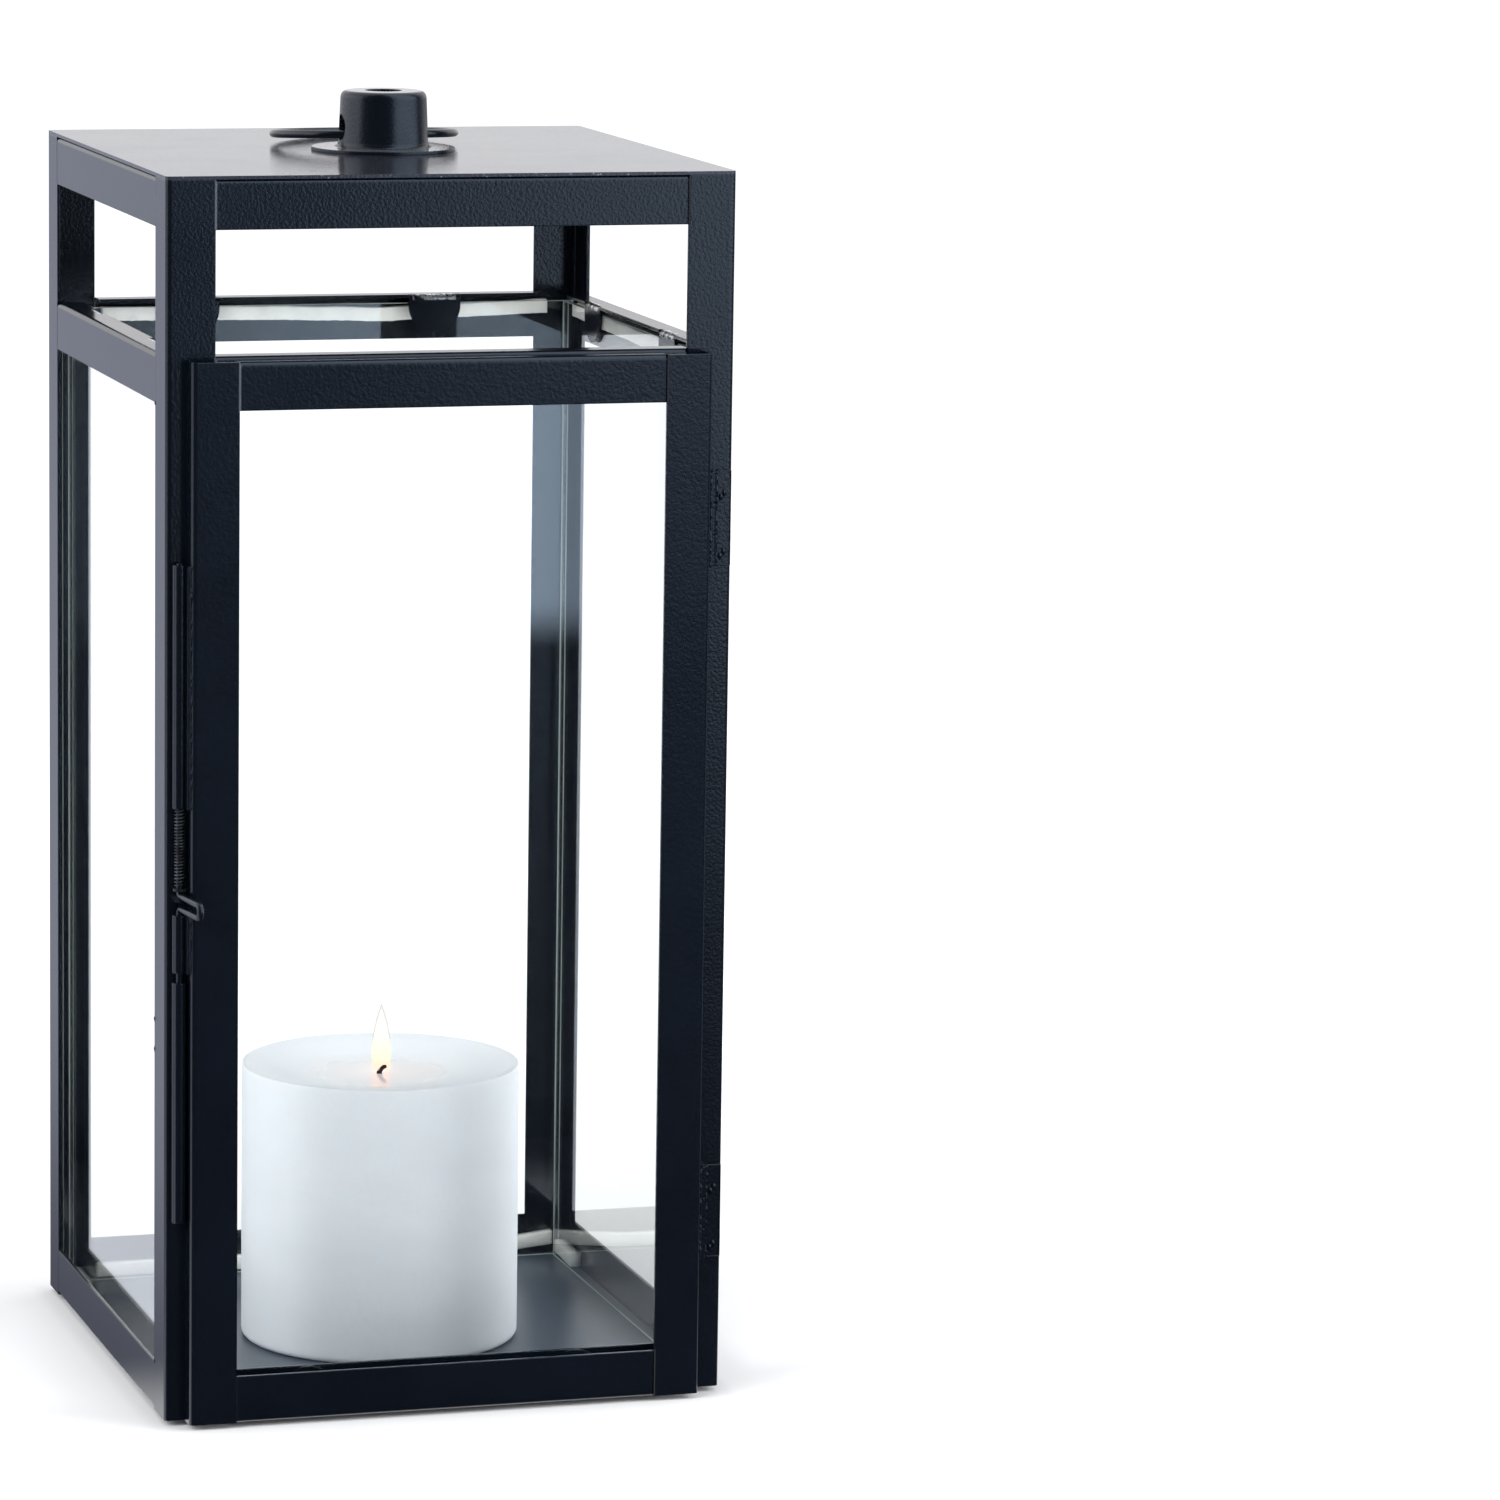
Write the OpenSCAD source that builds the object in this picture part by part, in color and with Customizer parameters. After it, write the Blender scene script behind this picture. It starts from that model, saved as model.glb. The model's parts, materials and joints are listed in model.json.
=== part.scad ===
// Square hurricane lantern for one pillar candle: an open frame of folded steel angles, three fixed
// panes held by bent tabs, a glazed door on welded hinges with a sprung drop rod, and a pressed
// chimney knob that carries a lifting ring. +Z is up, the door faces -Y, and the origin lies on the
// ground under the middle of the square frame.

/* [Frame] */
// Width and depth of the square frame
frame_w = 200; // [180:1:240]
// Height from the foot of the posts to the top of the roof
frame_h = 430; // [400:1:480]
// Thickness of the folded sheet
sheet = 1.2; // [0.8:0.1:1.4]
// Outside radius of the folds
fold_r = 1.8; // [1.6:0.1:2.4]
// Width of each leg of a corner post
post_leg = 17; // [14:0.5:22]
// Height of the upright face of the rails
rail_h = 17; // [15:0.5:20]
// How far the flanges of the rails reach inwards
flange_w = 9; // [8:0.5:11]
// Height of the roof above the upper edge of the middle rails
vent_h = 61; // [45:1:90]
// Thickness of the roof sheet
roof_t = 1.2; // [0.8:0.1:2]
// Thickness of the floor tray
tray_t = 1; // [0.8:0.1:2]
// Height of the foot pads
foot_h = 2; // [1.5:0.1:4]
// Radius of the foot pads
foot_r = 6; // [4:0.5:8]

/* [Panes] */
// Thickness of the glass
glass_t = 2; // [1.8:0.1:2.4]
// Height of the foam strips behind the panes
strip_h = 5; // [3:0.5:8]
// Length of the foam piece at the foot of each side pane
foam_piece_l = 22; // [10:1:40]
// Width of the bent tabs that hold the panes
tab_w = 19.5; // [14:0.5:22]
// Length of the tabs of the middle rails
tab_len = 14; // [12:0.5:16]
// Distance of the back rail's right tab from its middle
tab_back = 43; // [30:1:55]
// Distance of every other tab of the middle rails from its rail's middle
tab_side = 48; // [30:1:55]

/* [Door] */
// Space between the latch side of the door and the side of the frame
latch_margin = 7.1; // [6.5:0.1:12]
// Space between the hinge side of the door and the side of the frame
hinge_margin = 9.9; // [8:0.1:14]
// How far the front of the door stands in front of its back edge
door_d = 8; // [7.5:0.5:9]
// Width of the stiles and height of the rails of the door
door_face = 16.5; // [14:0.5:20]
// How far the door's upper edge lies below that of the middle rails
door_drop = 1; // [0.5:0.1:3]
// Length of the tabs of the door rails
door_tab_len = 17; // [13:0.5:20]
// Distance of each door tab from the middle of the door
door_tab_x = 48; // [30:1:55]

/* [Hinges] */
// Length of each hinge
hinge_l = 33; // [24:1:45]
// Distance from the door's lower edge to the middle of the lower hinge
hinge_in_low = 64; // [45:1:90]
// Distance from the door's upper edge to the middle of the upper hinge
hinge_in_high = 58; // [45:1:90]
// Outside radius of the hinge knuckles
knuckle_r = 1.7; // [1.5:0.1:1.9]
// Thickness of the hinge leaves
leaf_t = 0.8; // [0.6:0.1:0.9]

/* [Latch] */
// Radius of the latch rod
rod_r = 1.2; // [1:0.1:1.3]
// Outside radius of the latch tubes
tube_r = 2.5; // [2.2:0.1:2.7]
// Height of the top of the keeper tube above the foot of the posts
keeper_top = 155; // [120:1:180]
// Length of the keeper tube on the frame
keeper_l = 84; // [40:1:90]
// Length of the short guide tube below the handle
guide_low_l = 20; // [10:0.5:30]
// Length of the long guide tube above the spring
guide_long_l = 67.5; // [40:0.5:90]
// Length of the end tube above the long one
guide_end_l = 16; // [10:0.5:25]
// Length of the spring with the rod down
spring_l = 27.5; // [26:0.5:36]
// Number of turns of the spring
spring_turns = 24; // [16:1:30]
// Thickness of the spring wire
spring_wire = 0.6; // [0.4:0.1:0.6]
// How far the handle stands out from the rod
handle_l = 21.5; // [15:0.5:45]
// How far the handle is turned towards the door from straight ahead, in degrees
handle_turn = 8; // [0:1:9]
// How deep the foot of the rod stands in the keeper
rod_bite = 10; // [5:0.5:11]

/* [Knob and ring] */
// Height of the knob above the roof
knob_h = 21; // [19:0.5:30]
// Radius of the knob at its foot
knob_r = 16; // [14:0.5:20]
// Radius of the knob's brim
brim_r = 25.4; // [22:0.2:32]
// Radius of the hole in the knob's top
knob_hole_r = 6.5; // [4:0.5:8]
// Thickness of the knob's sheet
knob_t = 1.2; // [0.8:0.1:1.6]
// Radius of the flue hole in the roof
flue_r = 10; // [6:0.5:12]
// Height above the roof of the ring's wire where it lies in the knob's holes
ring_z = 5.6; // [5.2:0.1:7]
// Radius of the two holes in the knob's side
ring_hole_r = 4.6; // [3.8:0.1:5]
// Radius of the ring, to the middle of its wire
ring_r = 32.2; // [28:0.2:40]
// Radius of the ring's wire
ring_wire_r = 1.5; // [1.2:0.1:1.7]

/* [Candle] */
// Radius of the candle
candle_r = 50; // [30:1:60]
// Height of the candle
candle_h = 100; // [50:1:150]
// Distance of the candle from the middle of the tray, towards the door
candle_y = 4.5; // [0:0.5:10]
// Width of the rim left round the hollow in the candle's top
candle_rim = 3.5; // [2:0.5:8]
// Radius of the melted pool
pool_r = 26; // [12:0.5:27]
// Depth of the melted pool under the rim
pool_d = 4.2; // [2:0.1:6]
// Height of the wick above the pool
wick_h = 4; // [3:0.5:12]

/* [Hidden] */
$fn = 64;

// Clearances
seat_gap = 0.1;     // between a pane and the tab that holds it
pane_gap = 0.5;     // round the ends of a pane
door_gap = 0.3;     // between the door and the posts
side_gap = 0.3;     // between the door's side and a knuckle or tube on the frame
pin_gap = 0.05;     // round a hinge pin
rod_gap = 0.08;     // round the latch rod
tray_gap = 0.8;     // round the tray, past the inside of the folds
ring_gap = 0.25;    // between the resting ring and the roof
swing_gap = 0.7;    // under the ring's wire in the knob's holes
rest_gap = 1;       // under the handle at the end of its drop

// Frame
half = frame_w / 2;
foot_z = foot_h;
roof_z = foot_z + frame_h - roof_t;
mid_z = foot_z + frame_h - vent_h;
rail_l = frame_w - 2 * post_leg;
tray_z = foot_z + sheet;
tray_top = tray_z + tray_t;
tray_w = frame_w - 2 * (sheet + tray_gap);

// Panes: each stands on the tray, against the tabs, with foam between it and the sheet behind
pane_in = half - flange_w + sheet + seat_gap;
pane_out = pane_in + glass_t;
pane_top = mid_z - sheet - 2;
pane_bottom = tray_top + seat_gap;
back_pane_w = 2 * (half - sheet - pane_gap - 2);
side_pane_back = half - flange_w + sheet - pane_gap;
side_pane_front = half - sheet - pane_gap - 2;
foam_t = half - sheet - pane_out;

// Door
door_l = latch_margin - half;
door_r = half - hinge_margin;
door_w = door_r - door_l;
door_x = (door_l + door_r) / 2;
door_back = -half - door_gap;
door_front = door_back - door_d;
door_z = foot_z;
door_h = mid_z - foot_z - door_drop;
door_pane_y = door_back - sheet - seat_gap - glass_t;
door_pane_w = door_w - 2 * (fold_r + pane_gap);
door_pane_h = door_h - 2 * (fold_r + pane_gap);
door_foam_t = door_pane_y - (door_front + sheet);

// Hinges: the pin's axis stands beside the door's edge, one knuckle radius off the posts
pin_x = door_r + side_gap + knuckle_r;
pin_y = -half - knuckle_r;
pin_r = knuckle_r - leaf_t - pin_gap;
knuckle_gap = 0.4;
knuckle_l = (hinge_l - 2 * knuckle_gap) / 3;
post_leaf_edge = half - 0.6;
door_leaf_w = 4.8;
hinge_z = [door_z + hinge_in_low, door_z + door_h - hinge_in_high];

// Latch: everything hangs on one axis in the space beside the door
rod_x = door_l - side_gap - tube_r;
rod_y = -half - tube_r - 0.4;
keeper_z1 = foot_z + keeper_top;
guide_low_z0 = keeper_z1 + 3.5;
guide_low_z1 = guide_low_z0 + guide_low_l;
leg_low_z = guide_low_z1 + rest_gap + rod_r;
leg_high_z = leg_low_z + 2 * rod_r + 2.1;
elbow_r = rod_r + 0.4;
washer_t = 0.8;
washer_r = tube_r - 0.3;
washer_z = leg_high_z + elbow_r + seat_gap;
spring_z0 = washer_z + washer_t + seat_gap;
spring_z1 = spring_z0 + spring_l;
guide_long_z0 = spring_z1 + seat_gap;
guide_long_z1 = guide_long_z0 + guide_long_l;
guide_end_z1 = guide_long_z1 + guide_end_l;
rod_top = guide_end_z1 + 0.6;
rod_foot = keeper_z1 - rod_bite;
latch_leaf_t = 0.9;
latch_leaf_w = 4.6;
spring_r = rod_r + 0.1 + spring_wire / 2;

// Knob and ring: the ring runs through two holes in the knob and rests with its far side on the roof
brim_t = knob_t;
knob_top_r = knob_r - 0.8;
knob_edge_r = 2.4;
knob_root_r = 1.6;
ring_roof = roof_z + roof_t;
ring_c = sqrt(ring_r * ring_r - pow(knob_r - knob_t / 2, 2));
ring_hole_z = ring_z - ring_wire_r - swing_gap + ring_hole_r;
ring_tilt = asin((ring_z - ring_wire_r - ring_gap) / (ring_c + ring_r));

// Candle
candle_edge = 1.5;
candle_z = tray_top + seat_gap;
wick_r = 1.1;
wick_depth = 6;

// ---- folded sheet ----

// Cross-section of a folded angle: the outside of the fold is at the origin, the legs run along +X and +Y
module angle_2d(leg_x, leg_y) {
    translate([fold_r, 0]) square([leg_x - fold_r, sheet]);
    translate([0, fold_r]) square([sheet, leg_y - fold_r]);
    translate([fold_r, fold_r]) intersection() {
        difference() {
            circle(fold_r);
            circle(fold_r - sheet);
        }
        translate([-fold_r, -fold_r]) square(fold_r);
    }
}

// Runs a cross-section along X: its first axis becomes +Y and its second +Z
module along_x(length) {
    rotate([90, 0, 90]) linear_extrude(length, center = true) children();
}

// Turns what is drawn at the front of the lantern to another side: 0 front, 1 right, 2 back, 3 left
module side(n) {
    rotate([0, 0, 90 * n]) children();
}

// Outline of a tab that hangs from the origin, with a half-round end
module tab_outline(length) {
    translate([-tab_w / 2, tab_w / 2 - length]) square([tab_w, length - tab_w / 2]);
    translate([0, tab_w / 2 - length]) circle(tab_w / 2);
}

// Tab folded down from the edge of a flange: the fold's outside is at the origin, and the flange is at -Y
module tab(length) {
    intersection() {
        along_x(tab_w + 2) rotate(180) angle_2d(fold_r + 1, length);
        translate([0, 1, 0]) rotate([90, 0, 0]) linear_extrude(fold_r + 3) tab_outline(length);
    }
}

// Takes the square corner off a flange where a tab is folded from it
module tab_relief() {
    translate([-tab_w / 2, -fold_r, -2 * sheet]) cube([tab_w, fold_r + 1, 2 * sheet + 1]);
}

module post(n) {
    color([0.09, 0.1, 0.12]) side(n)
        translate([-half, -half, foot_z]) linear_extrude(roof_z - foot_z) angle_2d(post_leg, post_leg);
}

// Rail at the front of the frame with its flange on top: z is the height of its upper edge
module rail_flange_up(z) {
    along_x(rail_l) translate([-half, z]) mirror([0, 1]) angle_2d(flange_w, rail_h);
}

module top_rail(n) {
    color([0.09, 0.1, 0.12]) side(n) rail_flange_up(roof_z);
}

// Middle rail: places are those of its tabs, from its middle
module mid_rail(n, places) {
    color([0.09, 0.1, 0.12]) side(n) {
        difference() {
            rail_flange_up(mid_z);
            for (x = places) translate([x, flange_w - half, mid_z]) tab_relief();
        }
        for (x = places) translate([x, flange_w - half, mid_z]) tab(tab_len);
    }
}

module bottom_rail(n) {
    color([0.09, 0.1, 0.12]) side(n)
        along_x(rail_l) translate([-half, foot_z]) angle_2d(flange_w, rail_h);
}

// Square with rounded corners, centred on the origin
module rounded_square(width, r) {
    square([width - 2 * r, width], center = true);
    square([width, width - 2 * r], center = true);
    for (x = [-1, 1], y = [-1, 1]) translate([x, y] * (width / 2 - r)) circle(r);
}

module roof_plate() {
    color([0.3, 0.32, 0.35]) translate([0, 0, roof_z]) linear_extrude(roof_t) difference() {
        rounded_square(frame_w, fold_r);
        circle(flue_r);
    }
}

module floor_tray() {
    color([0.3, 0.34, 0.38]) translate([0, 0, tray_z]) linear_extrude(tray_t)
        square(tray_w, center = true);
}

module foot_pads() {
    color([0.05, 0.05, 0.05])
        for (x = [-1, 1], y = [-1, 1])
            translate([x * (half - foot_r - 3), y * (half - post_leg - foot_r - 2), 0])
                cylinder(h = foot_h, r = foot_r);
}

// ---- panes and foam ----

module pane_back() {
    color([0.8, 0.9, 0.88, 0.35])
        translate([-back_pane_w / 2, pane_in, pane_bottom])
            cube([back_pane_w, glass_t, pane_top - pane_bottom]);
}

// Side pane: s is -1 on the left and 1 on the right
module side_pane(s) {
    color([0.8, 0.9, 0.88, 0.35])
        translate([s * (pane_in + glass_t / 2) - glass_t / 2, -side_pane_front, pane_bottom])
            cube([glass_t, side_pane_back + side_pane_front, pane_top - pane_bottom]);
}

// Foam strip between a pane and the sheet at the front of the frame: x and l along it, z its foot
module foam_strip(x, l, z) {
    translate([x - l / 2, sheet - half, z]) cube([l, foam_t, strip_h]);
}

module foam_back() {
    color([0.85, 0.86, 0.8]) side(2) {
        foam_strip(0, rail_l - 4, pane_top - strip_h);
        foam_strip(0, rail_l - 4, pane_bottom + 0.5);
    }
}

// Foam of a side pane: along the top, and a short piece at the back end of the bottom
module foam_side(n, towards_back) {
    color([0.85, 0.86, 0.8]) side(n) {
        foam_strip(0, rail_l - 4, pane_top - strip_h);
        foam_strip(towards_back * (side_pane_back - foam_piece_l / 2), foam_piece_l, pane_bottom);
    }
}

// ---- door ----

// Stile at the left of the door, drawn with its outer fold at the origin
module stile() {
    color([0.07, 0.08, 0.1]) linear_extrude(door_h) angle_2d(door_face, door_d);
}

module door_stile_latch() {
    translate([door_l, door_front, door_z]) stile();
}

module door_stile_hinge() {
    translate([door_r, door_front, door_z]) mirror([1, 0, 0]) stile();
}

// Rail of the door with its flange at the bottom and two tabs folded up from the flange's back edge
module door_rail() {
    color([0.07, 0.08, 0.1]) {
        difference() {
            along_x(door_w - 2 * door_face) angle_2d(door_d, door_face);
            for (x = [-1, 1]) translate([x * door_tab_x, door_d, 0]) mirror([0, 0, 1]) tab_relief();
        }
        for (x = [-1, 1])
            translate([x * door_tab_x, door_d, 0]) mirror([0, 0, 1]) tab(door_tab_len);
    }
}

module door_rail_bottom() {
    translate([door_x, door_front, door_z]) door_rail();
}

module door_rail_top() {
    translate([door_x, door_front, door_z + door_h]) mirror([0, 0, 1]) door_rail();
}

module door_pane() {
    color([0.8, 0.9, 0.88, 0.35])
        translate([door_x - door_pane_w / 2, door_pane_y, door_z + fold_r + pane_gap])
            cube([door_pane_w, glass_t, door_pane_h]);
}

// Foam between the door's face and its pane, along the top and bottom rails
module door_foam() {
    edge = fold_r + pane_gap;
    foam_l = door_w - 2 * door_face - 4;
    color([0.85, 0.86, 0.8])
        for (z = [door_z + edge, door_z + door_h - edge - strip_h])
            translate([door_x - foam_l / 2, door_pane_y - door_foam_t, z])
                cube([foam_l, door_foam_t, strip_h]);
}

// ---- hinges ----

// Heights of the knuckles within one hinge: 0 and 2 belong to the post leaf, 1 to the door leaf
function knuckle_z(i) = i * (knuckle_l + knuckle_gap) - hinge_l / 2;

// Rolled knuckles of one leaf, bored for the pin
module knuckles(list) {
    for (i = list) translate([0, 0, knuckle_z(i)]) difference() {
        cylinder(h = knuckle_l, r = knuckle_r);
        translate([0, 0, -1]) cylinder(h = knuckle_l + 2, r = pin_r + pin_gap);
    }
}

// Leaf welded on the face of the post; it keeps clear of the door's knuckle
module hinge_leaf_post(z) {
    reach = post_leaf_edge - pin_x;
    clear = knuckle_r + side_gap;
    color([0.07, 0.08, 0.1]) translate([pin_x, pin_y, z]) {
        knuckles([0, 2]);
        for (i = [0, 2]) translate([0, knuckle_r - leaf_t, knuckle_z(i)]) cube([clear, leaf_t, knuckle_l]);
        translate([clear, knuckle_r - leaf_t, -hinge_l / 2]) cube([reach - clear, leaf_t, hinge_l]);
    }
}

// Leaf welded on the side of the door; it keeps clear of the post's knuckles
module hinge_leaf_door(z) {
    t = leaf_t + side_gap;
    clear = knuckle_r + side_gap;
    color([0.07, 0.08, 0.1]) translate([pin_x, pin_y, z]) {
        knuckles([1]);
        translate([-knuckle_r, -clear, knuckle_z(1)]) cube([leaf_t, clear, knuckle_l]);
        translate([-clear, -door_leaf_w, -hinge_l / 2]) cube([t, door_leaf_w - clear, hinge_l]);
    }
}

// Pin with a small head on its top knuckle
module hinge_pin(z) {
    color([0.2, 0.2, 0.22]) translate([pin_x, pin_y, z]) {
        translate([0, 0, -hinge_l / 2]) cylinder(h = hinge_l, r = pin_r);
        translate([0, 0, hinge_l / 2]) cylinder(h = 0.6, r = knuckle_r - 0.3);
    }
}

// ---- latch ----

// Tube on the latch axis, bored for the rod
module latch_tube(z0, z1) {
    translate([rod_x, rod_y, z0]) difference() {
        cylinder(h = z1 - z0, r = tube_r);
        translate([0, 0, -1]) cylinder(h = z1 - z0 + 2, r = rod_r + rod_gap);
    }
}

// Guide tube with the leaf that is welded on the side of the door
module latch_guide(z0, z1) {
    t = latch_leaf_t + side_gap;
    color([0.07, 0.08, 0.1]) {
        difference() {
            union() {
                latch_tube(z0, z1);
                translate([door_l - t, rod_y - latch_leaf_w, z0]) cube([t, latch_leaf_w, z1 - z0]);
            }
            translate([rod_x, rod_y, z0 - 1]) cylinder(h = z1 - z0 + 2, r = rod_r + rod_gap);
        }
    }
}

// Keeper tube with the strip that is welded on the face of the post
module latch_keeper() {
    color([0.07, 0.08, 0.1]) {
        latch_tube(keeper_z1 - keeper_l, keeper_z1);
        translate([rod_x - tube_r + 0.2, -half - latch_leaf_t, keeper_z1 - keeper_l])
            cube([2 * tube_r - 0.4, latch_leaf_t, keeper_l]);
    }
}

module latch_guide_low() {
    latch_guide(guide_low_z0, guide_low_z1);
}

module latch_guide_long() {
    latch_guide(guide_long_z0, guide_long_z1);
}

module latch_guide_end() {
    latch_guide(guide_long_z1 + seat_gap, guide_end_z1);
}

module latch_washer() {
    color([0.5, 0.5, 0.52]) translate([rod_x, rod_y, washer_z]) difference() {
        cylinder(h = washer_t, r = washer_r);
        translate([0, 0, -1]) cylinder(h = washer_t + 2, r = rod_r + rod_gap);
    }
}

// Compression spring: a round wire swept along a helix round the rod, between the washer and the long tube
module latch_spring() {
    ring_steps = 12;
    wire_sides = 5;
    rings = spring_turns * ring_steps;
    rise = (spring_l - spring_wire) / rings;
    function helix_point(i, k) =
        let (turn = 360 * i / ring_steps, around = 360 * k / wire_sides,
             r = spring_r + spring_wire / 2 * cos(around))
        [r * cos(turn), r * sin(turn), spring_wire / 2 + i * rise + spring_wire / 2 * sin(around)];
    points = [for (i = [0:rings], k = [0:wire_sides - 1]) helix_point(i, k)];
    sides = [for (i = [0:rings - 1], k = [0:wire_sides - 1])
        let (a = i * wire_sides, b = a + wire_sides, n = (k + 1) % wire_sides)
        [a + k, a + n, b + n, b + k]];
    start = [for (k = [wire_sides - 1:-1:0]) k];
    finish = [for (k = [0:wire_sides - 1]) rings * wire_sides + k];
    color([0.55, 0.56, 0.58]) translate([rod_x, rod_y, spring_z0])
        polyhedron(points, concat([start], sides, [finish]), convexity = 10);
}

// Bend in the rod: a part of a torus in the plane of Y and Z, from angle a0 over a span
module rod_bend(r, a0, span) {
    rotate([90, 0, 90]) rotate([0, 0, a0]) rotate_extrude(angle = span) translate([r, 0]) circle(rod_r);
}

// Rod bent from one wire: down the guides, out and back as a hairpin handle, and down into the keeper
module latch_rod() {
    turn_r = (leg_high_z - leg_low_z) / 2;
    leg_l = handle_l - elbow_r - turn_r - rod_r;
    color([0.1, 0.11, 0.13]) translate([rod_x, rod_y, 0]) rotate([0, 0, handle_turn]) {
        translate([0, 0, leg_high_z + elbow_r]) cylinder(h = rod_top - leg_high_z - elbow_r, r = rod_r);
        translate([0, -elbow_r, leg_high_z + elbow_r]) rod_bend(elbow_r, -90, 90);
        for (z = [leg_high_z, leg_low_z])
            translate([0, -elbow_r, z]) rotate([90, 0, 0]) cylinder(h = leg_l, r = rod_r);
        translate([0, -elbow_r - leg_l, leg_low_z + turn_r]) rod_bend(turn_r, 90, 180);
        translate([0, -elbow_r, leg_low_z - elbow_r]) rod_bend(elbow_r, 0, 90);
        translate([0, 0, rod_foot]) cylinder(h = leg_low_z - elbow_r - rod_foot, r = rod_r);
    }
}

// ---- knob and ring ----

// Half outline of a tapered cup with a rounded upper edge, standing on the axis
module cup_2d(foot, top, height, edge) {
    polygon([[0, 0], [foot, 0], [top, height - edge], [0, height - edge]]);
    translate([0, height - edge - 1]) square([top - edge, edge + 1]);
    translate([top - edge, height - edge]) circle(edge);
}

module knob() {
    inner_edge = knob_edge_r - knob_t;
    color([0.06, 0.065, 0.08]) translate([0, 0, ring_roof]) difference() {
        rotate_extrude() difference() {
            intersection() {
                union() {
                    cup_2d(knob_r, knob_top_r, knob_h, knob_edge_r);
                    square([brim_r, brim_t]);
                    translate([knob_r - 0.5, brim_t]) difference() {
                        square([knob_root_r + 0.5, knob_root_r]);
                        translate([knob_root_r + 0.5, knob_root_r]) circle(knob_root_r);
                    }
                }
                square([brim_r + 1, knob_h + 1]);
            }
            translate([0, -1]) square([knob_r - knob_t, 1.01]);
            intersection() {
                cup_2d(knob_r - knob_t, knob_top_r - knob_t, knob_h - knob_t, inner_edge);
                square([brim_r, knob_h]);
            }
            translate([0, knob_h - 2 * knob_t]) square([knob_hole_r, 3 * knob_t]);
        }
        translate([-knob_r - 1, 0, ring_hole_z]) rotate([0, 90, 0])
            cylinder(h = 2 * knob_r + 2, r = ring_hole_r);
    }
}

module carry_ring() {
    color([0.06, 0.065, 0.08]) translate([0, 0, ring_roof + ring_z]) rotate([-ring_tilt, 0, 0])
        translate([0, ring_c, 0]) rotate_extrude($fn = 96) translate([ring_r, 0]) circle(ring_wire_r);
}

// ---- candle ----

// Pillar candle with a hollow burnt into its top, level where the wax has melted
module candle() {
    color([0.9, 0.91, 0.92]) translate([0, -candle_y, candle_z]) difference() {
        rotate_extrude($fn = 96) {
            square([candle_r - candle_edge, candle_h]);
            translate([0, candle_edge]) square([candle_r, candle_h - 2 * candle_edge]);
            for (z = [candle_edge, candle_h - candle_edge])
                translate([candle_r - candle_edge, z]) circle(candle_edge);
        }
        translate([0, 0, candle_h - pool_d])
            cylinder(h = pool_d, r1 = pool_r, r2 = candle_r - candle_rim, $fn = 96);
        translate([0, 0, candle_h - pool_d - wick_depth]) cylinder(h = wick_depth + pool_d, r = wick_r);
    }
}

module wick() {
    color([0.1, 0.09, 0.08]) translate([0, -candle_y, candle_z + candle_h - pool_d - wick_depth])
        cylinder(h = wick_depth + wick_h, r = wick_r);
}

roof_plate();
knob();
carry_ring();
post(0);  // post_front_left
post(1);  // post_front_right
post(2);  // post_back_right
post(3);  // post_back_left
top_rail(0);  // top_rail_front
top_rail(1);  // top_rail_right
top_rail(2);  // top_rail_back
top_rail(3);  // top_rail_left
mid_rail(0, []);  // mid_rail_front
mid_rail(1, [-tab_side, tab_side]);  // mid_rail_right
mid_rail(2, [-tab_back, tab_side]);  // mid_rail_back
mid_rail(3, [-tab_side, tab_side]);  // mid_rail_left
bottom_rail(0);  // bottom_rail_front
bottom_rail(1);  // bottom_rail_right
bottom_rail(2);  // bottom_rail_back
bottom_rail(3);  // bottom_rail_left
floor_tray();
foot_pads();
pane_back();
side_pane(-1);  // pane_left
side_pane(1);  // pane_right
foam_back();
foam_side(3, -1);  // foam_left
foam_side(1, 1);  // foam_right
door_stile_latch();
door_stile_hinge();
door_rail_top();
door_rail_bottom();
door_pane();
door_foam();
hinge_leaf_post(hinge_z[1]);  // hinge_leaf_post_upper
hinge_leaf_post(hinge_z[0]);  // hinge_leaf_post_lower
hinge_leaf_door(hinge_z[1]);  // hinge_leaf_door_upper
hinge_leaf_door(hinge_z[0]);  // hinge_leaf_door_lower
hinge_pin(hinge_z[1]);  // hinge_pin_upper
hinge_pin(hinge_z[0]);  // hinge_pin_lower
latch_keeper();
latch_guide_low();
latch_guide_long();
latch_guide_end();
latch_spring();
latch_washer();
latch_rod();
candle();
wick();
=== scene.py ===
"""Looks of a square hurricane lantern: coated steel, panes, foam, latch spring, candle, flame and studio.

Every length is in metres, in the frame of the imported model: +Z is up, the door faces -Y, and the origin
lies on the ground under the middle of the square frame.
"""

from __future__ import annotations

import json
import logging
import math
import random
from dataclasses import dataclass
from enum import Enum
from typing import Any, Iterable, Sequence, Union

import bmesh
import bpy
from mathutils import Matrix, Vector, noise


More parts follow.
